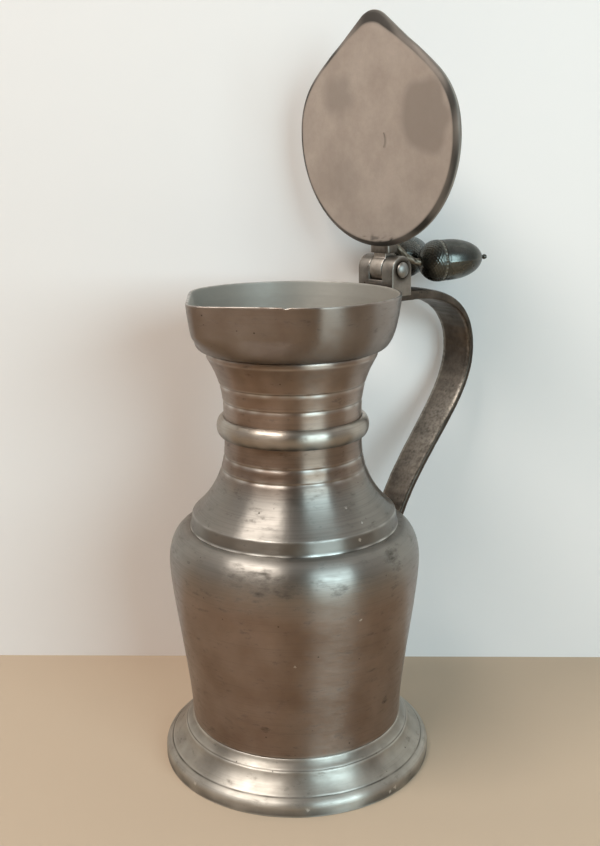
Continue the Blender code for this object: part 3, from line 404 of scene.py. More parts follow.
# Base disc: the belly's floor, a flat sheet of pewter soldered inside the drum's lower end.
# It is never polished, so it is dull, with the marks of the spinning tool that flattened it.
BASE_SPACING = 1.2 * MM
BASE_STEPS = 96
SOLID_PATCHES = (8.0 * MM, 12)
SOLID_RUB = 4
SOLID_GRIME = 5
BASE_PEWTER = ("#8d877d", "#6f685f", 0.5)

base_low, base_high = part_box("base_disc")
base_radius = (base_high.y - base_low.y) / 2


def worn_half(stretches, spacing, ease=EDGE_WEAR):
    """A worn outline from pole to pole: half of the outline that the stretches and their mirror
    image close. Its radius is 0 at the poles. Its normals and its bend come with it."""
    half = np.vstack([*map(np.atleast_2d, stretches)])
    line, normal, bend = worn_outline([half, half[-2:0:-1] * np.array([-1, 1])], spacing, ease)
    count = len(line) // 2 + 1
    line[:, 0] = np.clip(line[:, 0], 0, None)
    line[[0, count - 1], 0] = 0.0
    return line[:count], normal[:count], bend[:count]


def turned_solid(name, outline, axis, seed, columns):
    """A solid turned round an axis of its own: an outline from pole to pole, carried round it."""
    line, _, bend = outline
    angle = once_round(columns)
    patchy = ripple(angle, line[:, 1:], *SOLID_PATCHES, seed)
    return surface(
        name,
        about_axis(line[:, :1], angle, line[:, 1:], axis),
        ring=False,
        wear=np.clip(SOLID_RUB * bend, 0, 1) * np.clip(0.75 + 0.4 * patchy, 0, 1),
        grime=np.clip(-SOLID_GRIME * bend, 0, 1),
        inside=0.0,
    )


base_top, base_foot = base_high.z, base_low.z
base_section = [(0.0, base_top), (base_radius, base_top), (base_radius, base_foot), (0.0, base_foot)]
base = turned_solid("base_disc", worn_half(base_section, BASE_SPACING), UPRIGHT, 21, BASE_STEPS)
base.data.materials.append(turned_pewter("spun_pewter_floor", *BASE_PEWTER))
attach(base, "jug")
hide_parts("base_disc")


# Body drum: the belly, cast, turned and soldered on the foot. Handling has left it mottled, with
# pits on its shoulder and a few soft dents. Its warm brown is partly a bloom from handling and
# partly a painted reflection of the ground below it; towards its shoulder it turns to a lighter,
# neutral painted reflection of the pale room.
DRUM_SHOULDER = 16.0 * MM
DRUM_EASES = (15.0 * MM, 20.7 * MM)
DRUM_LEAN = 0.25 * MM
DRUM_SEAT_RADIUS = 46.2 * MM
DRUM_MOUTH_RADIUS = 41.2 * MM
DRUM_FULLNESS = 0.6
DRUM_SPACING = 0.8 * MM
DRUM_STEPS = 256
DRUM_SWELL = 0.07 * MM
DRUM_NICKS = ((-131.5, 52.3, 64.3, 0.7), (-101.8, 54.6, 82.5, 0.7))
DRUM_RUBS = (
    (-156.5, 54.0, 102.0, 7.0),
    (-146.7, 54.5, 100.4, 9.0),
    (-136.0, 54.6, 99.5, 7.0),
    (-112.0, 55.1, 97.6, 5.0),
    (-80.1, 53.7, 102.9, 7.0),
    (-147.1, 48.3, 32.7, 2.5),
    (-108.8, 48.1, 28.7, 3.5),
    (-79.2, 48.8, 36.9, 3.5),
)
# Between these heights the drum turns to a painted reflection of the pale room.
DRUM_PAINTED_REFLECTION = (84.0 * MM, 102.0 * MM)
DRUM_PEWTER = ("#948479", "#826f62", 0.36)

DRUM_RADIUS = (drum_high.y - drum_low.y) / 2
belly = drum_high.z - DRUM_SHOULDER
drum_shoulder = cubic(
    (DRUM_SEAT_RADIUS, drum_high.z),
    (DRUM_SEAT_RADIUS + DRUM_FULLNESS * (DRUM_RADIUS - DRUM_SEAT_RADIUS), drum_high.z),
    (DRUM_RADIUS, belly + DRUM_FULLNESS * DRUM_SHOULDER),
    (DRUM_RADIUS, belly),
)
drum_side = cubic(
    (DRUM_RADIUS, belly),
    (DRUM_RADIUS - DRUM_LEAN, belly - DRUM_EASES[0]),
    (DRUM_BASE_RADIUS + DRUM_LEAN, drum_low.z + DRUM_EASES[1]),
    (DRUM_BASE_RADIUS, drum_low.z),
)
drum_outline = worn_outline(
    [
        (DRUM_MOUTH_RADIUS, drum_high.z),
        drum_shoulder,
        drum_side[1:],
        drum_side[::-1] - np.array([DRUM_WALL, 0]),
        drum_shoulder[-2:0:-1] - DRUM_WALL,
        (DRUM_MOUTH_RADIUS, drum_high.z - DRUM_WALL),
    ],
    DRUM_SPACING,
)
drum = turned("body_drum", drum_outline, 31, DRUM_STEPS, DRUM_SWELL)
drum_marks = {"nicks": DRUM_NICKS, "rubs": DRUM_RUBS, "reflection_heights": DRUM_PAINTED_REFLECTION}
drum.data.materials.append(turned_pewter("turned_pewter_drum", *DRUM_PEWTER, **drum_marks))
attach(drum, "jug")
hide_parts("body_drum")


# Shoulder cone: the lower neck casting, an upright band soldered on the drum's seat and a cone
# that sweeps up to the neck. Two lines are turned into it below the bead, with painted highlights
# along them and along the seam at its foot, and its upright band has painted shade.
BAND_HEIGHT = 5.8 * MM
BAND_TAPER = 0.8 * MM
# Painted shade on the upright band.
BAND_SHADE = 0.28
NECK_RADIUS = 30.0 * MM
NECK_WALL = 2.0 * MM
SWEEP_HEIGHT = 32.0 * MM
SWEEP_EASES = (14.0 * MM, 8.6 * MM)
SWEEP_SLOPE = 0.86
CONE_LINES = (140.55 * MM, 134.65 * MM)
NECK_GROOVE = (1.7 * MM, 0.45 * MM)
NECK_POLISH = 0.3
# Painted highlights along the turned lines and along the seam under the band.
LINE_SHINE = 0.6
SEAM_SHINE = 0.8
SEAM_WIDTH = 0.5 * MM
CONE_NICKS = (
    (-94.9, 36.6, 124.5, 0.7),
    (-94.3, 45.1, 112.8, 0.9),
    (-88.1, 41.3, 118.5, 0.6),
)
# Between these heights, downwards, the cone turns to a painted reflection of the pale room.
CONE_PAINTED_REFLECTION = (138.0 * MM, 128.0 * MM)
CONE_PEWTER = ("#8d7c70", "#786557", 0.35)

cone_low, cone_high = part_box("shoulder_cone")
BAND_RADIUS = (cone_high.y - cone_low.y) / 2
band_top = cone_low.z + BAND_HEIGHT
sweep_top = band_top + SWEEP_HEIGHT
sweep = cubic(
    (NECK_RADIUS, sweep_top),
    (NECK_RADIUS, sweep_top - SWEEP_EASES[0]),
    (BAND_RADIUS - BAND_TAPER - SWEEP_EASES[1], band_top + SWEEP_SLOPE * SWEEP_EASES[1]),
    (BAND_RADIUS - BAND_TAPER, band_top),
)


def with_grooves(profile, heights):
    """A falling profile with a turned line cut at each height, on the profile's own slope."""
    clear = NECK_GROOVE[0] / 2
    for height in heights:
        radius, above = np.interp([height, height + NECK_GROOVE[0]], profile[::-1, 1], profile[::-1, 0])
        lean = np.arctan2(radius - above, NECK_GROOVE[0])
        notch = groove(np.array([radius, height]), *NECK_GROOVE, lean)
        rest = profile[:, 1] - height
        profile = np.vstack([profile[rest > clear], notch, profile[rest < -clear]])
    return profile


def line_highlights(outline, heights):
    """Painted highlights along turned lines and seams: a bell of a seam's width round each height."""
    return sum(np.exp(-(((outline[0][:, 1:] - height) / SEAM_WIDTH) ** 2)) for height in heights)


cone_outline = worn_outline(
    [
        (NECK_RADIUS, cone_high.z),
        with_grooves(sweep, CONE_LINES),
        (BAND_RADIUS, cone_low.z + SEAM_WIDTH),
        (BAND_RADIUS + SEAM_WIDTH, drum_high.z),
        (DRUM_MOUTH_RADIUS, drum_high.z),
        sweep[-2:0:-1] - np.array([NECK_WALL, NECK_WALL / 2]),
        (NECK_RADIUS - NECK_WALL, sweep_top),
        (NECK_RADIUS - NECK_WALL, cone_high.z),
    ]
)
cone_shine = SEAM_SHINE * line_highlights(cone_outline, [cone_low.z])
cone_shine = cone_shine + LINE_SHINE * line_highlights(cone_outline, CONE_LINES)
on_band = (cone_outline[0][:, 1:] < band_top) * (cone_outline[0][:, :1] > BAND_RADIUS - MM)
cone_marks = {"polish": NECK_POLISH, "painted_highlight": cone_shine, "painted_shade": BAND_SHADE * on_band}
cone = turned("shoulder_cone", cone_outline, 41, **cone_marks)
cone_metal = turned_pewter("turned_pewter_cone", *CONE_PEWTER, nicks=CONE_NICKS, reflection_heights=CONE_PAINTED_REFLECTION)
cone.data.materials.append(cone_metal)
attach(cone, "jug")
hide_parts("shoulder_cone")


# Neck bead: a half-round pewter ring soldered over the joint of the two neck castings.
# Hands rub its crown bright, polish dries in the creases above and below it, and its lower half
# has painted shade.
BEAD_LIP = 0.5 * MM
BEAD_WORN_DOWN = 0.8 * MM
BEAD_FINENESS = 1.5
BEAD_SHADE = 0.75
BEAD_PEWTER = ("#aea59a", "#988d81", 0.34)

bead_low, bead_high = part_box("neck_bead")
bead_crown = (bead_high.y - bead_low.y) / 2 - NECK_RADIUS - BEAD_LIP
bead_centre = (bead_low.z + bead_high.z) / 2
bead_half = (bead_high.z - bead_low.z) / 2 - BEAD_WORN_DOWN
bead_turn = np.linspace(pi / 2, -pi / 2, 80)
bead_reach = NECK_RADIUS + BEAD_LIP + bead_crown * np.cos(bead_turn)
bead_outline = worn_outline(
    [
        np.column_stack([bead_reach, bead_centre + bead_half * np.sin(bead_turn)]),
        (NECK_RADIUS, bead_centre - bead_half),
        (NECK_RADIUS, bead_centre + bead_half),
    ],
    FINE_SPACING / BEAD_FINENESS,
    EDGE_WEAR / BEAD_FINENESS,
)
# Painted shade on the bead's lower half, as a share of how far it faces down.
bead_shade = BEAD_SHADE * np.clip(0.1 - bead_outline[1][:, 1:], 0, 1)
bead = turned("neck_bead", bead_outline, 51, painted_shade=bead_shade)
bead.data.materials.append(turned_pewter("turned_pewter_bead", *BEAD_PEWTER))
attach(bead, "jug")
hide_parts("neck_bead")


# Upper neck: the neck casting above the bead, with two more turned lines that carry painted
# highlights. It flares to a thin flange that the mouth collar is soldered on.
FLANGE_EDGE = 2.4 * MM
FLANGE_ROUND = 1.4 * MM
FLANGE_SEAT = 2.8 * MM
FLARE_HEIGHT = 24.0 * MM
FLARE_EASES = (5.4 * MM, 11.6 * MM)
FLARE_LEAN = 3.1 * MM
UPPER_LINES = (172.15 * MM, 164.75 * MM)
NECK_PEWTER = ("#9d8c80", "#8a7566", 0.36)

upper_low, upper_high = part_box("upper_neck")
collar_low, collar_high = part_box("mouth_collar")
FLANGE_RADIUS = (upper_high.y - upper_low.y) / 2
flange = upper_high.z - FLANGE_EDGE
flange_seat = FLANGE_RADIUS - FLANGE_SEAT
flare = cubic(
    (FLANGE_RADIUS, flange),
    (FLANGE_RADIUS - FLARE_LEAN, flange - FLARE_EASES[0]),
    (NECK_RADIUS, flange - FLARE_HEIGHT + FLARE_EASES[1]),
    (NECK_RADIUS, flange - FLARE_HEIGHT),
)
flange_edge = cubic(
    (FLANGE_RADIUS - FLANGE_ROUND / 2, upper_high.z),
    (FLANGE_RADIUS, upper_high.z),
    (FLANGE_RADIUS, upper_high.z - FLANGE_ROUND / 2),
    (FLANGE_RADIUS, upper_high.z - FLANGE_ROUND),
)
upper_outline = worn_outline(
    [
        (flange_seat, collar_low.z),
        (FLANGE_RADIUS - FLANGE_ROUND, collar_low.z),
        flange_edge,
        with_grooves(flare, UPPER_LINES),
        (NECK_RADIUS, cone_high.z),
        (NECK_RADIUS - NECK_WALL, cone_high.z),
        flare[-2:8:-1] - np.array([NECK_WALL, 0]),
        (flange_seat, flange),
    ]
)
upper_shine = LINE_SHINE * line_highlights(upper_outline, UPPER_LINES)
upper = turned("upper_neck", upper_outline, 61, polish=NECK_POLISH, painted_highlight=upper_shine)
upper.data.materials.append(turned_pewter("turned_pewter_neck", *NECK_PEWTER))
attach(upper, "jug")
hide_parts("upper_neck")


# Mouth collar: the deep rim, cast round at its foot and drawn out to a pouring beak above it.
# Its lip is rubbed bright and slightly uneven, it is dull and pale inside, and what faces down
# on its outside has painted shade.
COLLAR_RADIUS = 46.7 * MM
COLLAR_WALL = 2.0 * MM
COLLAR_FOOT = 37.3 * MM
COLLAR_EASES = (13.5 * MM, 5.6 * MM)
COLLAR_LEAN = 1.3 * MM
COLLAR_SPACING = 0.4 * MM
COLLAR_STEPS = 288
# Painted shade on what faces down outside.
COLLAR_UNDER_SHADE = 0.6
BEAK_TIP_RADIUS = 11.0 * MM
BEAK_FLANK = radians(52)
BEAK_CROWDING = 0.5
BEAK_DRAW_SHARE = 0.45
LIP_UNEVEN = 0.08 * MM
LIP_WAVES = (40.0 * MM, 12, 71)
LIP_PATCHES = (9.0 * MM, 60, 72)
LIP_THINNING = 0.7 * MM
LIP_DEPTH = 6.0 * MM
LIP_RUBBED = radians(-25)
# The lip's rub all round, on its most rubbed side and at its nick; then the edges' rub and limit.
LIP_RUB = (0.2, 0.3, 0.5)
COLLAR_RUB = (0.4, 0.8)
LIP_NICK = (radians(-46.3), 0.022, 0.5 * MM)
COLLAR_PEWTER = ("#938880", "#807166", 0.36)
COLLAR_INSIDE = "#a09b92"

BEAK_TIP = AXIS_X - collar_low.x
BEAKWARD = ((AXIS_X, 0, 0), (-1, 0, 0), (0, 1, 0), (0, 0, 1))


def eased(t):
    """A rise from 0 to 1 with level ends: three squares less two cubes."""
    t = np.clip(t, 0, 1)
    return t**2 * (3 - 2 * t)


def from_point(angle):
    """The size of an angle's turn away from the drop's point, either way round."""
    return np.abs((angle + pi) % (2 * pi) - pi)


def drop_reach(angle, radius, shift, tip, tip_radius):
    """How far a drop-shaped outline lies from its centre, at an angle from its point.

    A small circle at the tip runs into straight flanks, and these ease into a round back, whose
    centre is shifted towards the tip. The ease is a smooth minimum of flank and back.
    """
    turn = from_point(angle)
    tip_centre = tip - tip_radius
    touch = np.arctan2(tip_radius * cos(BEAK_FLANK), tip_centre + tip_radius * sin(BEAK_FLANK))
    chord = np.clip(tip_radius**2 - (tip_centre * np.sin(turn)) ** 2, 0, None)
    point = tip_centre * np.cos(turn) + np.sqrt(chord)
    offset = tip_centre * sin(BEAK_FLANK) + tip_radius
    past = turn + BEAK_FLANK - pi / 2
    flank = offset / np.cos(np.clip(past, -pi / 3, pi / 3))
    back = shift * np.cos(turn) + np.sqrt(radius**2 - (shift * np.sin(turn)) ** 2)
    blend = radius - offset
    share = np.minimum(np.abs(back - flank) / blend, 1)
    rounded = np.minimum(back, flank) - blend * (1 - share) ** 2 / 4
    return np.select([turn < touch, past < 0, past < pi / 3], [point, flank, rounded], back)


collar_side = cubic(
    (COLLAR_RADIUS, collar_high.z),
    (COLLAR_RADIUS - COLLAR_LEAN, collar_high.z - COLLAR_EASES[0]),
    (COLLAR_FOOT + COLLAR_EASES[1], collar_low.z),
    (COLLAR_FOOT, collar_low.z),
)
collar_floor = collar_low.z + COLLAR_WALL
collar_inner = collar_side[collar_side[:, 1] > collar_floor]
lip_wall = COLLAR_WALL - LIP_THINNING * np.clip(1 - (collar_high.z - collar_inner[:, 1]) / LIP_DEPTH, 0, 1)
collar_line, collar_normal, collar_bend = worn_outline(
    [
        collar_side,
        (flange_seat, collar_low.z),
        (flange_seat, collar_floor),
        (collar_inner - np.column_stack([lip_wall, 0 * lip_wall]))[::-1],
    ],
    COLLAR_SPACING,
)

# The collar is its outline carried round, and the beak's reach past a round mouth is added to it,
# easing in over the lower part of its height. Its lip drops by a ripple and at its nick.
collar_out, collar_up = collar_normal[:, :1], collar_normal[:, 1:]
collar_even = once_round(COLLAR_STEPS)
collar_angle = collar_even - BEAK_CROWDING * np.sin(collar_even)
collar_rise = np.clip((collar_line[:, 1:] - collar_low.z) / (collar_high.z - collar_low.z), 0, 1)
beak_reach = drop_reach(collar_angle, COLLAR_RADIUS, 0.0, BEAK_TIP, BEAK_TIP_RADIUS) - COLLAR_RADIUS
collar_reach = collar_line[:, :1] + eased(collar_rise / BEAK_DRAW_SHARE) * beak_reach
lip_wave = ripple(collar_angle, collar_line[:, 1:], *LIP_WAVES)
lip_patch = ripple(collar_angle, collar_line[:, 1:], *LIP_PATCHES)
lip_nick = np.exp(-(((collar_angle - 2 * pi * (collar_angle > pi) - LIP_NICK[0]) / LIP_NICK[1]) ** 2))
lip_drop = LIP_UNEVEN * np.clip(lip_wave, 0, 2) + LIP_NICK[2] * lip_nick
collar_lip = np.clip(collar_up, 0, 1) ** 4 * (collar_rise > 0.9)
lip_side = np.clip(np.cos(collar_angle - LIP_RUBBED), 0, 1)
lip_rub = collar_lip * (LIP_RUB[0] + LIP_RUB[1] * lip_side + LIP_RUB[2] * lip_nick)
collar_rub = np.clip(COLLAR_RUB[0] * np.clip(collar_bend, 0, 1) + lip_rub, 0, COLLAR_RUB[1])
collar = surface(
    "mouth_collar",
    about_axis(collar_reach, collar_angle, collar_line[:, 1:] - collar_rise**8 * lip_drop, BEAKWARD),
    wear=collar_rub * np.clip(0.6 + 0.4 * lip_patch + lip_nick, 0, 1),
    grime=COLLAR_UNDER_SHADE * np.clip(-collar_up, 0, 1) * (collar_out > -0.5),
    inside=np.clip(2 * collar_up * (collar_rise < 0.5) - 2 * collar_out, 0, 1),
)
collar_metal = turned_pewter("turned_pewter_collar", *COLLAR_PEWTER, COLLAR_INSIDE)
collar.data.materials.append(collar_metal)
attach(collar, "jug")
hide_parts("mouth_collar")


# Handle: a strap cast with two hinge lugs at its top, soldered to the collar and, lower down, to
# the drum. It is left as cast and filed, so it is darker, with edges that the hand keeps bright and
# a painted highlight on its inner side where it faces up into the light. It is drawn darker round
# its crest and towards its foot.
STRAP_TOP_DROP = 9.0 * MM
STRAP_TOP_THICKNESS = 5.7 * MM
STRAP_THICKNESS = 3.5 * MM
STRAP_TOP_WIDTH = 21.0 * MM
STRAP_MID_WIDTH = 17.5 * MM
STRAP_FOOT_WIDTH = 15.0 * MM
STRAP_STRAIGHT = 5.0 * MM
STRAP_CREST_DROP = 33.6 * MM
STRAP_EASES = (30.0 * MM, 21.0 * MM, 30.2 * MM, 45.0 * MM)
STRAP_FOOT_LEAN = 0.12
STRAP_FOOT_DROP = 17.0 * MM
STRAP_FOOT_SINK = 1.1 * MM
STRAP_FOOT_ROUND = 6.0 * MM
STRAP_FOOT_TAPER = 0.75
STRAP_ROWS = 330
STRAP_STEPS = 96
STRAP_SQUARENESS = 6.0
STRAP_UNEVEN = 0.08 * MM
STRAP_WAVES = (12.0 * MM, 3, 81)
STRAP_PATCHES = (10.0 * MM, 6, 82)
# A painted highlight on the inner side, where it faces up into the light: round a share of the
# fall below the crest, over a width, by an amount.
STRAP_INNER_HIGHLIGHT = (0.42, 0.3, 0.6)
STRAP_EDGE_RUB = 0.4
# The strap is drawn darker round its crest and towards its foot.
STRAP_DARKENING = 0.35
STRAP_FOOT_DARK = (0.55, 0.3)
POLE_ROWS = ((1, 1), (0, 0))
STRAP_PEWTER = ("#645b52", "#48413b", 0.34)
STRAP_EDGE = "#c9c0b4"

pin_low, pin_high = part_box("hinge_pin")
HINGE = (pin_low + pin_high) / 2
handle_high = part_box("handle")[1]
strap_half = STRAP_TOP_THICKNESS / 2
strap_level = HINGE.z - STRAP_TOP_DROP - strap_half
strap_bend = np.array([HINGE.x + STRAP_STRAIGHT, strap_level])
strap_crest = np.array([handle_high.x - STRAP_THICKNESS / 2, HINGE.z - STRAP_TOP_DROP - STRAP_CREST_DROP])
strap_foot_level = belly - STRAP_FOOT_DROP
drum_there = np.interp(strap_foot_level, drum_side[::-1, 1], drum_side[::-1, 0])
strap_foot = np.array([AXIS_X + drum_there + STRAP_THICKNESS / 2 - STRAP_FOOT_SINK, strap_foot_level])
strap_arch = cubic(
    strap_bend,
    strap_bend + np.array([STRAP_EASES[0], 0]),
    strap_crest + np.array([0, STRAP_EASES[1]]),
    strap_crest,
)
strap_fall = cubic(
    strap_crest,
    strap_crest - np.array([0, STRAP_EASES[2]]),
    strap_foot + np.array([STRAP_FOOT_LEAN, 1]) * STRAP_EASES[3],
    strap_foot,
)
strap_start = AXIS_X + COLLAR_RADIUS - 0.75 * COLLAR_WALL
strap_line = np.vstack([(strap_start, strap_level), strap_arch, strap_fall[1:]])
strap_run = np.concatenate([[0], np.cumsum(np.linalg.norm(np.diff(strap_line, axis=0), axis=1))])
strap_length = np.linspace(0, strap_run[-1], STRAP_ROWS)[:, None]
strap_x, strap_z = (np.interp(strap_length, strap_run, axis) for axis in strap_line.T)
strap_heading = np.gradient(np.hstack([strap_x, strap_z]), axis=0)
strap_heading /= np.linalg.norm(strap_heading, axis=1, keepdims=True)
crest_length = strap_length[np.argmax(strap_x)]
bend_length = strap_bend[0] - strap_start
strap_slim = eased((strap_length - bend_length) / (crest_length - bend_length))
strap_below = (strap_length - crest_length) / (strap_length[-1] - crest_length)
strap_end = eased(strap_below)
strap_left = np.clip((strap_length[-1] - strap_length) / STRAP_FOOT_ROUND, 0, 1)
strap_width = STRAP_TOP_WIDTH + (STRAP_MID_WIDTH - STRAP_TOP_WIDTH) * strap_slim
strap_width += (STRAP_FOOT_WIDTH - STRAP_MID_WIDTH) * strap_end
strap_width *= np.sqrt(1 - STRAP_FOOT_TAPER * (1 - strap_left) ** 2)
strap_thick = STRAP_TOP_THICKNESS + (STRAP_THICKNESS - STRAP_TOP_THICKNESS) * strap_slim

# The strap's section is a superellipse: half the width times cos to a power across, and half the
# thickness times sin to the same power along its line's normal. It wavers by a slow ripple.
section = once_round(STRAP_STEPS)
section_across = np.sign(np.cos(section)) * np.abs(np.cos(section)) ** (2 / STRAP_SQUARENESS)
section_out = np.sign(np.sin(section)) * np.abs(np.sin(section)) ** (2 / STRAP_SQUARENESS)
strap_corner = np.exp(-((np.abs(np.sin(2 * section)) - 1) ** 2) / 0.02)
strap_row = np.arange(STRAP_ROWS)[:, None] * MM
strap_waver = 1 + 2 * STRAP_UNEVEN / strap_thick * (ripple(section, strap_row, *STRAP_WAVES) - 2)
strap_rise = strap_thick / 2 * section_out * strap_waver


def with_poles(grid):
    """A grid of sections with a pole added before it and behind it, in the middle of each end."""
    ends = grid[[0, -1]].mean(axis=1, keepdims=True) + 0 * grid[[0, -1]]
    return np.concatenate([ends[:1], grid, ends[1:]])


def cast_pewter(name, tone, shade, roughness, bright=STRAP_EDGE, grain=1.4 * MM):
    """Pewter as cast and filed: a slightly grainy skin with cloudy patches, small dark nicks, edges
    rubbed bright with any painted highlight, and any grime and painted shade its piece carries."""
    metal, tree, place, wear, grime = new_metal(name, "wear", "grime")

    # Clouds of about 9 mm, a casting grain of a millimetre or so, and nicks of 1 mm, 5 mm apart.
    cloud = add(tree, "TexNoise", {"Vector": place, "Scale": 1 / (9 * MM), "Detail": 5, "Roughness": 0.6})
    mottle = add(tree, "MapRange", {"Value": cloud, "From Min": 0.36, "From Max": 0.64})
    skin = add(tree, "TexNoise", {"Vector": place, "Scale": 1 / grain, "Detail": 3})
    rub = add(tree, "MapRange", {"Value": skin, "From Min": 0.3, "From Max": 0.6, "To Min": 0.4})
    rubbed = add(tree, "Math", {0: rub, 1: wear}, operation="MULTIPLY")
    cells = add(tree, "TexVoronoi", {"Vector": place, "Scale": 1 / (5 * MM)})
    nick = add(tree, "MapRange", {"Value": cells, "From Min": 0.14, "From Max": 0.06, "To Max": 0.7})
    layers = (mottle, tone), (nick, POLISH_AND_SHADE), (grime, POLISH_AND_SHADE), (rubbed, bright)
    filed = {"To Min": roughness + 0.12, "To Max": roughness - 0.05}
    relief = add(tree, "Bump", {"Height": skin, "Distance": 0.08 * MM, "Strength": 0.5})
    nicked = {"Height": nick, "Normal": relief, "Distance": 0.2 * MM, "Strength": 0.7}
    finish = {
        "Base Color": layered(tree, shade, layers),
        "Roughness": add(tree, "MapRange", {"Value": cloud, "From Min": 0.3, "From Max": 0.7, **filed}),
        "Metallic": 1.0,
        "Normal": add(tree, "Bump", nicked, invert=True),
    }
    connect(tree, tree.nodes["Principled BSDF"], finish)
    return metal


strap_grid = np.stack(
    [
        strap_x - strap_heading[:, 1:] * strap_rise,
        strap_width / 2 * section_across + 0 * strap_rise,
        strap_z + strap_heading[:, :1] * strap_rise,
    ],
    axis=-1,
)
strap_patch = ripple(section, strap_row, *STRAP_PATCHES)
# Painted highlight on the inner side below the crest; the edges' wear is added to it.
strap_inner_highlight = np.exp(-(((strap_below - STRAP_INNER_HIGHLIGHT[0]) / STRAP_INNER_HIGHLIGHT[1]) ** 2))
strap_inner_highlight = STRAP_INNER_HIGHLIGHT[2] * strap_inner_highlight * (section_out < -0.8) * (0.6 - 0.4 * section_across)
strap_wear_and_highlight = (STRAP_EDGE_RUB * strap_corner + strap_inner_highlight) * np.clip(0.85 + 0.12 * strap_patch, 0, 1)
strap_dark = (1 - strap_end) * strap_slim + eased((strap_below - STRAP_FOOT_DARK[0]) / STRAP_FOOT_DARK[1])
strap = surface(
    "handle_strap",
    with_poles(strap_grid),
    ring=False,
    wear=np.pad(np.clip(strap_wear_and_highlight, 0, 1), POLE_ROWS),
    grime=np.pad(STRAP_DARKENING * strap_dark, POLE_ROWS, "edge"),
)
strap.data.materials.append(cast_pewter("filed_pewter_strap", *STRAP_PEWTER))
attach(strap, "jug")
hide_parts("handle")


# Hinge lugs: two round-topped cheeks of the handle casting, with a saddle between them that
# stops the lid when it stands open. They are warmer than the strap, with painted shade round
# the rivet.
BARREL_RADIUS = 6.2 * MM
HINGE_CLEARANCE = 0.35 * MM
KNUCKLE_WIDTH = 7.3 * MM
LUG_WIDTH = 6.8 * MM
LUG_ROUND = 0.5 * MM
LUG_SPACING = 0.3 * MM
LUG_PATCHES = (9.0 * MM, 2, 91)
SADDLE_ROUND = 0.1 * MM
SADDLE_MIDDLE = 1.4 * MM
SLOT_FLOOR = radians(45)
STOP_DROP = 4.2 * MM
RIVET_SHADE = 1.6 * MM
LUG_PEWTER = ("#968f87", "#756d65", 0.36)

pin_head = (pin_high.x - pin_low.x) / 2
lug_root = STRAP_TOP_DROP + strap_half
lug_offset = (KNUCKLE_WIDTH + LUG_WIDTH) / 2 + HINGE_CLEARANCE


def ring_arc(radius, start, end, count=64):
    """Points of an arc round the hinge pin, from one angle to another."""
    turn = np.linspace(start, end, count)
    return radius * np.column_stack([np.cos(turn), np.sin(turn)])


def cheek(name, stretches, centre, middle, width, rounding, turn=np.eye(3), rubbed=0.3):
    """A plate of a worn outline in the XZ plane round the hinge, thick along Y, with soft edges.

    Rows run from the middle of one face over its rounded edge, across the rim and on to the
    middle of the other face: each is the outline, inset along its normals and then drawn towards
    a centre by a share.
    """
    line, normal, bend = worn_outline(stretches, LUG_SPACING)
    quarter = np.linspace(0, pi / 2, 8)
    faces = np.linspace(0, 1, 14)[:-1]
    inset = rounding * (1 - np.concatenate([0 * faces, np.sin(quarter)]))
    share = np.concatenate([faces, 0 * quarter + 1])
    side = width / 2 - rounding * np.concatenate([0 * faces, 1 - np.cos(quarter)])
    inset, share = (np.concatenate([half, half[::-1]])[:, None] for half in (inset, share))
    side = np.concatenate([side, -side[::-1]])[:, None]
    spread = centre + (line - normal * inset[..., None] - centre) * share[..., None]
    from_pin = np.hypot(spread[..., 0], spread[..., 1])
    points = np.stack([spread[..., 0], middle + side + 0 * from_pin, spread[..., 1]], axis=-1)
    patchy = ripple(from_pin / MM, middle + side, *LUG_PATCHES)
    wear = rubbed * np.clip((inset > 0.1 * rounding) + 2 * bend.T, 0, 1) * (share == 1)
    # A ring of painted shade round the pin head, on the faces.
    return surface(
        name,
        points @ turn.T + np.array(HINGE),
        ring=False,
        wear=np.clip(wear * (0.7 + 0.3 * patchy), 0, 1),
        grime=np.exp(-(((from_pin - pin_head) / RIVET_SHADE) ** 2)) * (share < 1),
    )


lug_metal = cast_pewter("filed_pewter_lugs", *LUG_PEWTER)
lug_foot = [(BARREL_RADIUS, -lug_root), (-BARREL_RADIUS, -lug_root)]
lug_outline = [ring_arc(BARREL_RADIUS, 0, pi)[::-1], *lug_foot]
lug_centre = np.array([0.0, -0.3 * BARREL_RADIUS])
for side_name, side_sign in (("near", -1), ("far", 1)):
    lug_middle = side_sign * lug_offset
    lug = cheek(f"hinge_lug_{side_name}", lug_outline, lug_centre, lug_middle, LUG_WIDTH, LUG_ROUND)
    lug.data.materials.append(lug_metal)
    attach(lug, "jug")
    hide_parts("handle")

slot_radius = BARREL_RADIUS + HINGE_CLEARANCE
slot_width = KNUCKLE_WIDTH + 2 * HINGE_CLEARANCE + LUG_ROUND
saddle_outline = [
    (-BARREL_RADIUS, -slot_radius * sin(SLOT_FLOOR)),
    ring_arc(slot_radius, pi + SLOT_FLOOR, 2 * pi - asin(STOP_DROP / slot_radius)),
    (BARREL_RADIUS, -STOP_DROP),
    *lug_foot,
]
saddle_centre = np.array([0.0, -lug_root + SADDLE_MIDDLE])
saddle = cheek("hinge_saddle", saddle_outline, saddle_centre, 0.0, slot_width, SADDLE_ROUND, rubbed=0.0)
saddle.data.materials.append(lug_metal)
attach(saddle, "jug")
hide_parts("handle")


# Hinge pin: a rivet of harder metal, driven through lugs and knuckle and hammered to a dome at
# each end. The hand keeps its domes bright.
PIN_RADIUS = 2.0 * MM
PIN_HEAD_HEIGHT = 2.0 * MM
PIN_SPACING = 0.16 * MM
PIN_WEAR = 0.12 * MM
PIN_STEPS = 72
PIN_GRAIN = 2.2 * MM
PIN_METAL = ("#989794", "#807d78", 0.4)

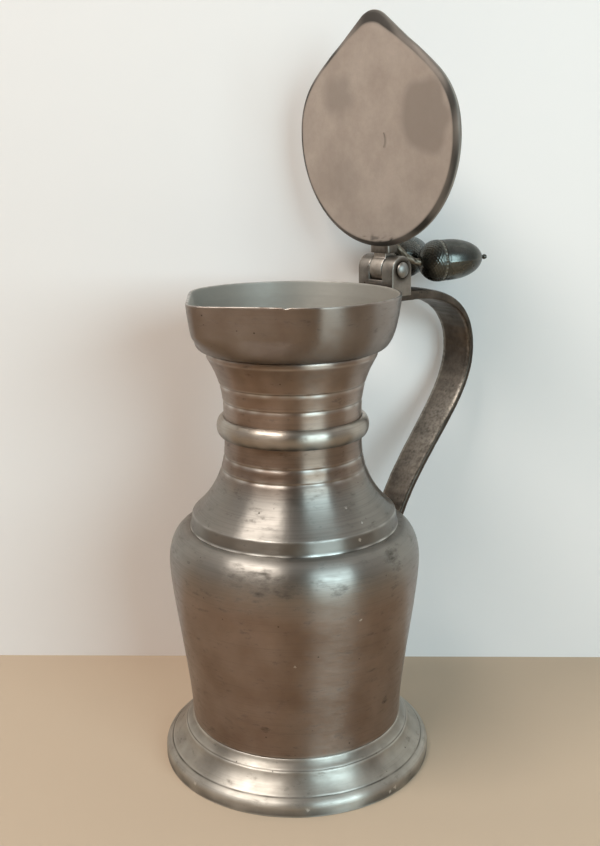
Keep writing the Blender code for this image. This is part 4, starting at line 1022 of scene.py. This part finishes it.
pin_end = (pin_high.y - pin_low.y) / 2
pin_face = pin_end - PIN_HEAD_HEIGHT
pin_axis = (HINGE, (1, 0, 0), (0, 0, 1), (0, 1, 0))
dome = cubic(
    (0.0, pin_end),
    (pin_head / 2, pin_end),
    (pin_head, pin_face + PIN_HEAD_HEIGHT / 2),
    (pin_head, pin_face),
)
pin_section = [dome, (PIN_RADIUS, pin_face), (PIN_RADIUS, -pin_face), dome[::-1] * np.array([1, -1])]
pin = turned_solid("hinge_pin", worn_half(pin_section, PIN_SPACING, PIN_WEAR), pin_axis, 95, PIN_STEPS)
pin.data.materials.append(cast_pewter("hammered_rivet", *PIN_METAL, grain=PIN_GRAIN))
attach(pin, "jug")
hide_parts("hinge_pin")


# Lid plate: a drop-shaped casting, flat and matt underneath, with a soft bevel round its edge and
# a low crown on top. Drips have left smudges on its underside, darker than the bare metal.
OPEN_ANGLE = radians(87.5)
LID_UNDERSIDE = -5.9 * MM
LID_THICKNESS = 4.2 * MM
LID_EDGE_ROUND = 1.3 * MM
LID_BEVEL = 2.2 * MM
LID_CROWN = 3.0 * MM
LID_OVERHANG = 1.3 * MM
LID_FORWARD = 1.9 * MM
# At the tip the bevel is wider by a share, within a turn, and fades over a depth.
LID_TIP_BEVEL = (1.4, 0.26, 6.0 * MM)
# The lid's corners are a mean of the drop over a turn either way, from a turn off the tip on.
LID_CORNER_EASE = (0.22, 9)
LID_EASED_FROM = (0.4, 0.25)
LID_SPACING = 0.62 * MM
LID_WEAR = 0.45 * MM
LID_STEPS = 240
LID_PATCHES = (12.0 * MM, 16, 104)
LID_FLECKS = (3.0 * MM, 90, 105)
LID_TONE = "#baaca1"
LID_SHADE = "#a99b90"
LID_STAIN = "#7f746b"
LID_BEVEL_TONE = "#403b36"
LID_RIM = (0.6 * MM, 0.7 * MM)
LID_EDGE_RUB = 2.2
LID_SCRATCH = (0.7, 3.2 * MM, -7.7 * MM, 12.0 * MM, 0.4 * MM)
LID_SPECKS = (0.8, 42.5 * MM, 11.0 * MM, 1.5 * MM)
# Each smudge: how dark it is, its centre, its size, the width of its edge and its seed.
LID_SMUDGES = (
    (0.6, (-19.5 * MM, 20.5 * MM), (8.6 * MM, 8.8 * MM), 0.7, 101),
    (0.8, (-9.5 * MM, -31.5 * MM), (14.5 * MM, 14.0 * MM), 0.25, 102),
    (0.3, (17.0 * MM, 19.0 * MM), (9.0 * MM, 11.0 * MM), 0.9, 103),
)

lid_radius = COLLAR_RADIUS + LID_OVERHANG
lid_top = LID_UNDERSIDE + LID_THICKNESS
lid_centre = AXIS_X - HINGE.x
crown_share = 1 - np.linspace(LID_EDGE_ROUND / lid_radius, 1, 80)[::-1]
lid_line, lid_normal, lid_bend = worn_half(
    [
        np.column_stack([lid_radius * crown_share, lid_top + LID_CROWN * (1 - crown_share**2)]),
        (lid_radius, lid_top - LID_EDGE_ROUND),
        (lid_radius, LID_UNDERSIDE + LID_EDGE_ROUND),
        (lid_radius - LID_BEVEL, LID_UNDERSIDE),
        (0.0, LID_UNDERSIDE),
    ],
    LID_SPACING,
    LID_WEAR,
)

# The lid is a drop-shaped outline times the share of its radius that its section has there.
lid_reach = lid_line[:, :1]
lid_even = once_round(LID_STEPS)
lid_angle = lid_even - BEAK_CROWDING * np.sin(lid_even)
tip_turn = from_point(lid_angle)
lid_inset = lid_radius - lid_reach
under = np.clip(-2 * lid_normal[:, 1:], 0, 1)
tip_bevel = np.exp(-((tip_turn / LID_TIP_BEVEL[1]) ** 2) - lid_inset / LID_TIP_BEVEL[2])
lid_share = np.clip(1 - lid_inset * (1 + LID_TIP_BEVEL[0] * tip_bevel * under) / lid_radius, 0, None)
lid_shape = (lid_radius, LID_FORWARD, BEAK_TIP + LID_OVERHANG, BEAK_TIP_RADIUS)
lid_drop = drop_reach(lid_angle, *lid_shape)
lid_nearby = np.linspace(-LID_CORNER_EASE[0], LID_CORNER_EASE[0], LID_CORNER_EASE[1])
lid_eased = sum(drop_reach(lid_angle + nearby, *lid_shape) for nearby in lid_nearby) / len(lid_nearby)
lid_drop = lid_drop + eased((tip_turn - LID_EASED_FROM[0]) / LID_EASED_FROM[1]) * (lid_eased - lid_drop)
lid_back = -lid_share * lid_drop * np.cos(lid_angle)
lid_y = lid_share * lid_drop * np.sin(lid_angle)
hang = np.array(Matrix.Rotation(OPEN_ANGLE, 3, "Y"))


def hung(points):
    """Points round the hinge, given with the lid level, swung up to where the open lid stands."""
    return points @ hang.T + np.array(HINGE)


def smudge(centre, size, edge, seed):
    """A soft-edged stain on the lid: full within an uneven ellipse, fading over its edge."""
    turn = np.arctan2(lid_y - centre[1], lid_back - centre[0])
    far = np.hypot((lid_back - centre[0]) / size[0], (lid_y - centre[1]) / size[1])
    ragged = far + 0.1 * ripple(turn, 0 * turn, 1.0, 6, seed)
    return np.clip((1 + edge / 2 - ragged) / edge, 0, 1)


lid_stain = sum(amount * smudge(*shape) for amount, *shape in LID_SMUDGES) * under
lid_patch = ripple(lid_angle, lid_reach, *LID_PATCHES)
lid_rim = np.clip((LID_BEVEL + LID_RIM[0] - lid_inset) / LID_RIM[1], 0, 1)
scratch_dark, scratch_half, scratch_y, scratch_bow, scratch_width = LID_SCRATCH
lid_scratch = np.exp(-(((lid_y - scratch_y - lid_back**2 / scratch_bow) / scratch_width) ** 2))
lid_scratch = scratch_dark * under * lid_scratch * (np.abs(lid_back) < scratch_half)
specks_dark, specks_back, specks_half, specks_width = LID_SPECKS
lid_specks = np.clip(ripple(lid_angle, lid_reach, *LID_FLECKS), 0, 1) * (np.abs(lid_y) < specks_half)
lid_specks = specks_dark * under * lid_specks * np.exp(-(((lid_back - specks_back) / specks_width) ** 2))
lid = surface(
    "lid_plate",
    hung(np.stack([lid_centre + lid_back, lid_y, lid_line[:, 1:] + 0 * lid_y], axis=-1)),
    ring=False,
    wear=np.clip(LID_EDGE_RUB * lid_bend * (1 - under), 0, 1) * np.clip(0.7 + 0.4 * lid_patch, 0, 1),
    grime=np.clip(lid_rim * np.clip(0.85 + 0.2 * lid_patch, 0, 1) + lid_scratch + lid_specks, 0, 1),
    stain=lid_stain,
)


def stained_pewter(name):
    """Bare pewter kept under the lid: matt taupe, finely speckled, with drip smudges, short
    scratches and a darker bevel."""
    metal, tree, place, wear, grime, stain = new_metal(name, "wear", "grime", "stain")

    # Clouds of about 20 mm under a speckle of about 1 mm.
    cloud = add(tree, "TexNoise", {"Vector": place, "Scale": 1 / (20 * MM), "Detail": 6, "Roughness": 0.65})
    mottle = add(tree, "MapRange", {"Value": cloud, "From Min": 0.35, "From Max": 0.65})
    speckle = add(tree, "TexNoise", {"Vector": place, "Scale": 1 / (1.0 * MM), "Detail": 2})
    dots = add(tree, "MapRange", {"Value": speckle, "From Min": 0.45, "From Max": 0.75, "To Max": 0.25})
    clouded = {"Value": cloud, "From Min": 0.3, "From Max": 0.7}
    blotch = add(tree, "MapRange", {**clouded, "To Min": 0.5, "To Max": 0.8})
    stained = add(tree, "Math", {0: stain, 1: blotch}, operation="MULTIPLY")
    layers = (mottle, LID_TONE), (dots, LID_SHADE), (stained, LID_STAIN), (grime, LID_BEVEL_TONE)
    rough = add(tree, "MapRange", {**clouded, "To Min": 0.62, "To Max": 0.5})
    finish = {
        "Base Color": layered(tree, LID_SHADE, (*layers, (wear, STRAP_EDGE))),
        "Roughness": add(tree, "Math", {0: grime, 1: 0.1, 2: rough}, operation="MULTIPLY_ADD"),
        "Metallic": 0.55,
        "Normal": add(tree, "Bump", {"Height": speckle, "Distance": 0.05 * MM, "Strength": 0.4}),
    }
    connect(tree, tree.nodes["Principled BSDF"], finish)
    return metal


lid.data.materials.append(stained_pewter("stained_pewter_lid"))
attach(lid, "lid")
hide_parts("lid_plate")


# Lid knuckle: the hinge's middle barrel, with a heel that meets the saddle, cast in one with the
# tongue that is soldered along the lid's top.
TONGUE_WIDTH = 11.5 * MM
TONGUE_TIP_WIDTH = 8.0 * MM
TONGUE_REACH = 34.0 * MM
TONGUE_RISE = 5.0 * MM
TONGUE_CLEAR = 1.2 * MM
TONGUE_PROUD = (0.3 * MM, 0.4 * MM)
TONGUE_ROWS = 90
TONGUE_ROUND = 0.2
TONGUE_WEAR = 0.2
# The tongue is drawn darker near the knuckle, fading over a number of rows.
TONGUE_DARKENING = (0.75, 30)
ARM_STEP = 0.6 * MM
HEEL_GAP = 0.3 * MM
KNUCKLE_PEWTER = ("#beb4aa", "#94897e", 0.36)

tongue_root = -(BARREL_RADIUS + TONGUE_CLEAR)
tongue_top = lid_top + TONGUE_RISE
tongue_under = LID_UNDERSIDE + LID_THICKNESS / 2
arm_top, arm_under = tongue_top - ARM_STEP, tongue_under + ARM_STEP
heel_drop = STOP_DROP - HEEL_GAP
heel = np.array([BARREL_RADIUS, 0, -heel_drop]) @ hang
heel_angle = OPEN_ANGLE - asin(heel_drop / BARREL_RADIUS)
knuckle_metal = cast_pewter("filed_pewter_knuckle", *KNUCKLE_PEWTER)
knuckle_outline = [
    (2 * tongue_root, arm_top),
    ring_arc(BARREL_RADIUS, pi - asin(arm_top / BARREL_RADIUS), OPEN_ANGLE),
    heel[[0, 2]],
    ring_arc(BARREL_RADIUS, heel_angle, -pi - asin(arm_under / BARREL_RADIUS)),
    (2 * tongue_root, arm_under),
]
knuckle_centre = np.array([-0.4 * BARREL_RADIUS, 0.0])
knuckle = cheek("lid_knuckle", knuckle_outline, knuckle_centre, 0.0, KNUCKLE_WIDTH, LUG_ROUND / 2, hang)
knuckle.data.materials.append(knuckle_metal)
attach(knuckle, "lid")
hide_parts("lid_knuckle")

# The tongue has the strap's section, between the middle of the lid and a top that eases down to
# just above the lid's crown. It narrows to a round end.
tongue_run = np.linspace(0, 1, TONGUE_ROWS)[:, None]
tongue_x = tongue_root - (TONGUE_REACH + tongue_root) * tongue_run
tongue_share = np.clip(np.abs(tongue_x - lid_centre - LID_FORWARD) / lid_radius, 0, 1)
crown_there = lid_top + LID_CROWN * (1 - tongue_share**2)
tongue_height = tongue_top + (crown_there[-1] + TONGUE_PROUD[1] - tongue_top) * eased(tongue_run)
tongue_height = np.maximum(tongue_height, crown_there + TONGUE_PROUD[0])
tongue_half = (TONGUE_WIDTH + (TONGUE_TIP_WIDTH - TONGUE_WIDTH) * eased(tongue_run)) / 2
tongue_left = np.clip((tongue_run - 1 + TONGUE_ROUND) / TONGUE_ROUND, 0, 0.98)
tongue_y = tongue_half * np.sqrt(1 - tongue_left**2) * section_across
tongue_z = (tongue_height + tongue_under) / 2 + (tongue_height - tongue_under) / 2 * section_out
tongue_grid = with_poles(np.stack([tongue_x + 0 * tongue_y, tongue_y, tongue_z], axis=-1))
tongue_row = np.arange(len(tongue_grid))[:, None]
tongue = surface(
    "lid_tongue",
    hung(tongue_grid),
    ring=False,
    wear=TONGUE_WEAR * np.pad(strap_corner + 0 * tongue_y, POLE_ROWS),
    grime=TONGUE_DARKENING[0] * np.clip(1 - tongue_row / TONGUE_DARKENING[1], 0, 1),
)
tongue.data.materials.append(knuckle_metal)
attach(tongue, "lid")
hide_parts("lid_knuckle")


# Acorn twigs: a forked twig, cast as one bent rod that lies on the tongue and carries an acorn on
# each end. It is ridged lengthwise like bark.
ACORN_SPLAY = radians(24)
ACORN_SETBACK = 1.4 * MM
ACORN_DISTANCE = 17.4 * MM
TWIG_RADIUS = 1.8 * MM
TWIG_SPREAD = 3.0 * MM
TWIG_SINK = 0.4 * MM
TWIG_ROWS = 60
TWIG_STEPS = 40
TWIG_STEP = 0.4 * MM
TWIG_BARK = (9.0 * MM, 7, 111)
TWIG_RIDGES = (0.88, 0.06)
TWIG_PEWTER = ("#8f8576", "#6c6356", 0.5)

acorn_root = np.array([-ACORN_SETBACK, 0, 0])
twig_low = np.array([tongue_root - TWIG_RADIUS, TWIG_SPREAD, tongue_top + TWIG_RADIUS])
twig_lean = np.array([0, sin(ACORN_SPLAY), cos(ACORN_SPLAY)])
twig_end = acorn_root + twig_lean * (ACORN_DISTANCE + TWIG_SINK)
twig_before = twig_end - twig_lean * (twig_end[2] - twig_low[2]) / 2

# Each branch is a quadratic curve: its ends are weighted by squares and its handle by twice the
# product. A round section, ridged by a ripple, is carried along both branches.
twig_t = np.linspace(0, 1, TWIG_ROWS)[:, None]
twig_branch = (1 - twig_t) ** 2 * twig_low + 2 * twig_t * (1 - twig_t) * twig_before + twig_t**2 * twig_end
twig_line = np.vstack([twig_branch[::-1] * np.array([1, -1, 1]), twig_branch])
twig_heading = np.gradient(twig_line, axis=0)
twig_heading /= np.linalg.norm(twig_heading, axis=1, keepdims=True)
twig_side = np.cross(twig_heading, (1.0, 0.0, 0.0))
twig_side /= np.linalg.norm(twig_side, axis=1, keepdims=True)
twig_over = np.cross(twig_heading, twig_side)
twig_turn = once_round(TWIG_STEPS)
twig_row = np.arange(len(twig_line))[:, None] * TWIG_STEP
twig_bark = ripple(twig_turn, twig_row, *TWIG_BARK)
twig_reach = TWIG_RADIUS * (TWIG_RIDGES[0] + TWIG_RIDGES[1] * np.clip(twig_bark, -2, 2))
twig_reach[[0, -1]] = 0.0
twig_axis = (twig_line[:, None], twig_side[:, None], twig_over[:, None], (0, 0, 0))
twigs = surface(
    "acorn_twigs",
    hung(about_axis(twig_reach, twig_turn, 0 * twig_row, twig_axis)),
    ring=False,
    wear=np.clip(0.2 * twig_bark, 0, 1),
    grime=np.clip(-0.5 * twig_bark, 0, 1),
)
twigs.data.materials.append(cast_pewter("cast_pewter_twigs", *TWIG_PEWTER))
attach(twigs, "lid")
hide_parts("acorn_twigs")


# Acorns: the thumbpiece that lifts the lid, two acorns cast with cap and nut in one. The caps are
# cut with crossing scales, the nuts are dark and polished by the thumb, with a faint mould seam.
ACORN_CAP = (10.0 * MM, 9.7 * MM)
ACORN_NUT = (20.8 * MM, 9.7 * MM)
ACORN_NUB = (2.9 * MM, 1.2 * MM)
ACORN_BASE_RADIUS = 3.0 * MM
NUB_NECK = (0.75, 0.7, 0.3 * MM)
NUT_EASES = ((0.72, -0.06), (1.06, 0.5))
NUT_SEAT = (0.97, 0.3 * MM)
CAP_LIP = ((-0.5 * MM, 0.2 * MM), (-0.1 * MM, -0.2 * MM), (-0.1 * MM, -0.8 * MM))
CAP_EASES = ((1.01, 0.45), (0.7, 0.12))
ACORN_SPACING = 0.2 * MM
ACORN_EDGE_WEAR = 0.14 * MM
ACORN_STEPS = 180
CAP_RIM = 1.2 * MM
RIM_WIDTH = 0.5 * MM
RIM_NOTCHES = (34, 0.3 * MM)
SCALES_ROUND = 22
SCALES_ALONG = 6.5
SCALE_DEPTH = 0.22 * MM
SEAM_HEIGHT = 0.14 * MM
MOULD_SEAM_WIDTH = 0.35 * MM
ACORN_GRAIN = 3.0 * MM
ACORN_PEWTER = ("#5e5f5b", "#484945", 0.25)
ACORN_RUBBED = "#a9a698"

acorn_rim, cap_radius = ACORN_CAP
nut_length, nut_radius = ACORN_NUT
nub_length, nub_radius = ACORN_NUB
acorn_tip = acorn_rim + nut_length
nub_turn = np.linspace(pi / 2, -pi / 3, 40)
nub_height = acorn_tip + nub_length - nub_radius * (1 - np.sin(nub_turn))
acorn_nub = np.column_stack([nub_radius * np.cos(nub_turn), nub_height])
acorn_nub[0, 0] = 0.0
nut_size = np.array([nut_radius, nut_length])
acorn_nut = cubic(
    (nub_radius * NUB_NECK[1], acorn_tip),
    (0, acorn_tip) + nut_size * NUT_EASES[0],
    (0, acorn_rim) + nut_size * NUT_EASES[1],
    (nut_radius * NUT_SEAT[0], acorn_rim + NUT_SEAT[1]),
)
cap_size = np.array([cap_radius, acorn_rim])
cap_lip = cap_size + CAP_LIP
acorn_cap = cubic(cap_lip[2], cap_size * CAP_EASES[0], cap_size * CAP_EASES[1], (ACORN_BASE_RADIUS, 0.0))
acorn_line, _, acorn_bend = worn_half(
    [
        acorn_nub,
        (nub_radius * NUB_NECK[0], acorn_tip + NUB_NECK[2]),
        acorn_nut,
        cap_lip[:2],
        acorn_cap,
        (0.0, 0.0),
    ],
    ACORN_SPACING,
    ACORN_EDGE_WEAR,
)

# The scales are cut where either of two crossing cosine waves is near 0, the rim is notched by one
# wave round it, and the seam stands up in a bell on either side of one plane.
acorn_radius, acorn_along = acorn_line[:, :1], acorn_line[:, 1:]
acorn_turn = once_round(ACORN_STEPS)
cap_share = np.clip(1 - acorn_along / (acorn_rim - CAP_RIM), 0, 1)
on_cap = eased(cap_share * 8) * eased((1 - cap_share) * 8)
lattice = SCALES_ROUND * acorn_turn / 2
lattice_rise = pi * SCALES_ALONG * cap_share
crossing = np.abs(np.cos(lattice + lattice_rise) * np.cos(lattice - lattice_rise))
scale_cut = (1 - np.sqrt(crossing)) ** 2 * on_cap
rim_band = np.exp(-(((acorn_along - acorn_rim + RIM_WIDTH) / RIM_WIDTH) ** 2))
rim_notch = rim_band * (0.5 + 0.5 * np.cos(RIM_NOTCHES[0] * acorn_turn))
on_nut = eased((acorn_along - acorn_rim - RIM_WIDTH) / (1.5 * MM))
on_nut = on_nut * eased((acorn_tip - acorn_along) / (2 * MM))
seam = np.exp(-((np.sin(acorn_turn) * acorn_radius / MOULD_SEAM_WIDTH) ** 2)) * on_nut
acorn_reach = acorn_radius - SCALE_DEPTH * scale_cut - RIM_NOTCHES[1] * rim_notch
acorn_reach = np.clip(acorn_reach + SEAM_HEIGHT * (seam - on_nut), 0, None)
acorn_reach[[0, -1]] = 0.0
scale_rub = on_cap * np.clip(crossing * 2 - 1, 0, 1)
acorn_wear = np.clip(0.7 * rim_band * (1 - rim_notch) + 0.1 * scale_rub + 0.15 * seam, 0, 1)
acorn_grime = np.clip(0.35 * scale_cut + 2 * np.clip(-acorn_bend, 0, 1), 0, 1)
acorn_metal = cast_pewter("polished_dark_pewter", *ACORN_PEWTER, ACORN_RUBBED, ACORN_GRAIN)
for side_name, side_sign in (("left", -1), ("right", 1)):
    splay = side_sign * ACORN_SPLAY
    acorn_lean = np.array([0, sin(splay), cos(splay)])
    acorn_place = acorn_root + acorn_lean * ACORN_DISTANCE
    acorn_axis = (acorn_place, (0, cos(splay), -sin(splay)), (1, 0, 0), acorn_lean)
    acorn_points = hung(about_axis(acorn_reach, acorn_turn, acorn_along, acorn_axis))
    acorn = surface(f"acorn_{side_name}", acorn_points, ring=False, wear=acorn_wear, grime=acorn_grime)
    acorn.data.materials.append(acorn_metal)
    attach(acorn, "lid")
    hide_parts(f"acorn_{side_name}")


# Studio: a plain pale floor and a pale wall close behind the jug, a wide warm lamp high on the
# left, a weaker cool one low on the right and a dim room in front, with the photograph's camera.
FLOOR_COLOUR = "#b9a48d"
WALL_COLOUR = "#e9e4e1"
ROOM_BACK = "#dcdad8"
ROOM_LEFT = "#8f7863"
ROOM_RIGHT = "#656b6c"
WARM_LAMP = "#fbf6f0"
COOL_LAMP = "#c6e2ec"
FLOOR_SIZE = 4.0
PAINT_ROUGHNESS = 0.8
WALL_DISTANCE = 0.0874
WALL_SLANT = -0.033
ROOM_STRENGTH = 0.46
LAMP_AIM = 0.12
PHOTO_HEIGHT = 846
PHOTO_FOCUS = 1070
FILM_HEIGHT = 36.0
CAMERA_PLACE = Vector((-0.2957 + AXIS_X, -0.3402, 0.2666))
CAMERA_HEADING = radians(41.39)
CAMERA_PITCH = radians(14.07)
CAMERA_ROLL = radians(0.66)

scene = bpy.context.scene
scene.view_settings.view_transform = "Standard"
level = Vector((sin(CAMERA_HEADING), cos(CAMERA_HEADING), 0))
right = Vector((cos(CAMERA_HEADING), -sin(CAMERA_HEADING), 0))
up = Vector((0, 0, 1))


def stage_plane(name, centre, across, along, colour):
    """A flat square of the studio, spanned both ways from its centre, in matt paint."""
    mesh = bpy.data.meshes.new(name)
    low, high = centre - along, centre + along
    mesh.from_pydata([low - across, low + across, high + across, high - across], [], [(0, 1, 2, 3)])
    plane = bpy.data.objects.new(name, mesh)
    scene.collection.objects.link(plane)
    paint = bpy.data.materials.new(name + "_paint")
    paint.use_nodes = True
    matt = {"Base Color": linear(colour), "Roughness": PAINT_ROUGHNESS}
    connect(paint.node_tree, paint.node_tree.nodes["Principled BSDF"], matt)
    mesh.materials.append(paint)
    return plane


half = FLOOR_SIZE / 2
stand = Vector((AXIS_X, 0, 0))
stage_plane("floor", stand, Vector((half, 0, 0)), Vector((0, half, 0)), FLOOR_COLOUR)
wall_centre = stand + level * WALL_DISTANCE + up * half
wall_run = right + level * WALL_SLANT
wall = stage_plane("wall", wall_centre, wall_run * half, up * half, WALL_COLOUR)
wall.visible_shadow = False

# From behind, the camera looks through the wall.
wall_tree = wall.data.materials[0].node_tree
behind = add(wall_tree, "NewGeometry", out="Backfacing")
camera_ray = add(wall_tree, "LightPath", out="Is Camera Ray")
unseen = add(wall_tree, "Math", {0: behind, 1: camera_ray}, operation="MULTIPLY")
painted = wall_tree.nodes["Principled BSDF"].outputs["BSDF"]
one_sided = add(wall_tree, "MixShader", {0: unseen, 1: painted, 2: add(wall_tree, "BsdfTransparent")})
connect(wall_tree, wall_tree.nodes["Material Output"], {"Surface": one_sided})

# The room is brown on the left and grey on the right in front of the jug, and pale behind it. The
# camera and the metal's reflections see that pale back at full strength.
room = bpy.data.worlds.new("studio_room")
scene.world = room
room.use_nodes = True
room_tree = room.node_tree
heading = add(room_tree, "TexCoord", out="Generated")
blend = {"interpolation_type": "SMOOTHSTEP"}
aside = add(room_tree, "VectorMath", {0: heading, 1: right}, "Value", operation="DOT_PRODUCT")
side = add(room_tree, "MapRange", {"Value": aside, "From Min": -0.5, "From Max": 0.5}, **blend)
facing = add(room_tree, "VectorMath", {0: heading, 1: level + up * 0.5}, "Value", operation="DOT_PRODUCT")
depth = add(room_tree, "MapRange", {"Value": facing, "From Min": -0.7, "From Max": 0.5}, **blend)
dim_room = layered(room_tree, ROOM_LEFT, ((side, ROOM_RIGHT), (depth, ROOM_BACK)))
ray = add(room_tree, "LightPath").node.outputs
reflected = {0: ray["Is Glossy Ray"], 1: ray["Is Transmission Ray"]}
shown = add(room_tree, "Math", reflected, operation="MAXIMUM")
shown = add(room_tree, "Math", {0: shown, 1: depth}, operation="MULTIPLY")
shown = add(room_tree, "Math", {0: shown, 1: ray["Is Camera Ray"]}, operation="MAXIMUM")
pale = [channel / ROOM_STRENGTH for channel in linear(ROOM_BACK)]
backdrop = add(room_tree, "MixRGB", {"Fac": shown, "Color1": dim_room, "Color2": pale})
connect(room_tree, room_tree.nodes["Background"], {"Color": backdrop, "Strength": ROOM_STRENGTH})

for lamp_name, colour, power, swing, distance, height, size in (
    ("warm_lamp", WARM_LAMP, 18.5, -50, 0.9, 1.33, (1.1, 0.34)),
    ("cool_lamp", COOL_LAMP, 13.2, 34, 1.2, 0.47, (0.76, 0.56)),
):
    light = bpy.data.lights.new(lamp_name, "AREA")
    light.shape = "RECTANGLE"
    light.size, light.size_y = size
    light.color = linear(colour)[:3]
    light.energy = power
    lamp = bpy.data.objects.new(lamp_name, light)
    bearing = CAMERA_HEADING + pi - radians(swing)
    lamp.location = Vector((AXIS_X + sin(bearing) * distance, cos(bearing) * distance, height))
    aim = Vector((AXIS_X, 0, LAMP_AIM))
    lamp.rotation_euler = (lamp.location - aim).to_track_quat("Z", "Y").to_euler()
    scene.collection.objects.link(lamp)

lens = bpy.data.cameras.new("photo_camera")
lens.sensor_width = FILM_HEIGHT
lens.lens = FILM_HEIGHT * PHOTO_FOCUS / PHOTO_HEIGHT
camera = bpy.data.objects.new("photo_camera", lens)
forward = level * cos(CAMERA_PITCH) - up * sin(CAMERA_PITCH)
down = -(up * cos(CAMERA_PITCH) + level * sin(CAMERA_PITCH))
camera_right = right * cos(CAMERA_ROLL) + down * sin(CAMERA_ROLL)
camera_down = down * cos(CAMERA_ROLL) - right * sin(CAMERA_ROLL)
turn = Matrix((camera_right, -camera_down, -forward)).transposed()
camera.matrix_world = Matrix.Translation(CAMERA_PLACE) @ turn.to_4x4()
scene.collection.objects.link(camera)
scene.camera = camera
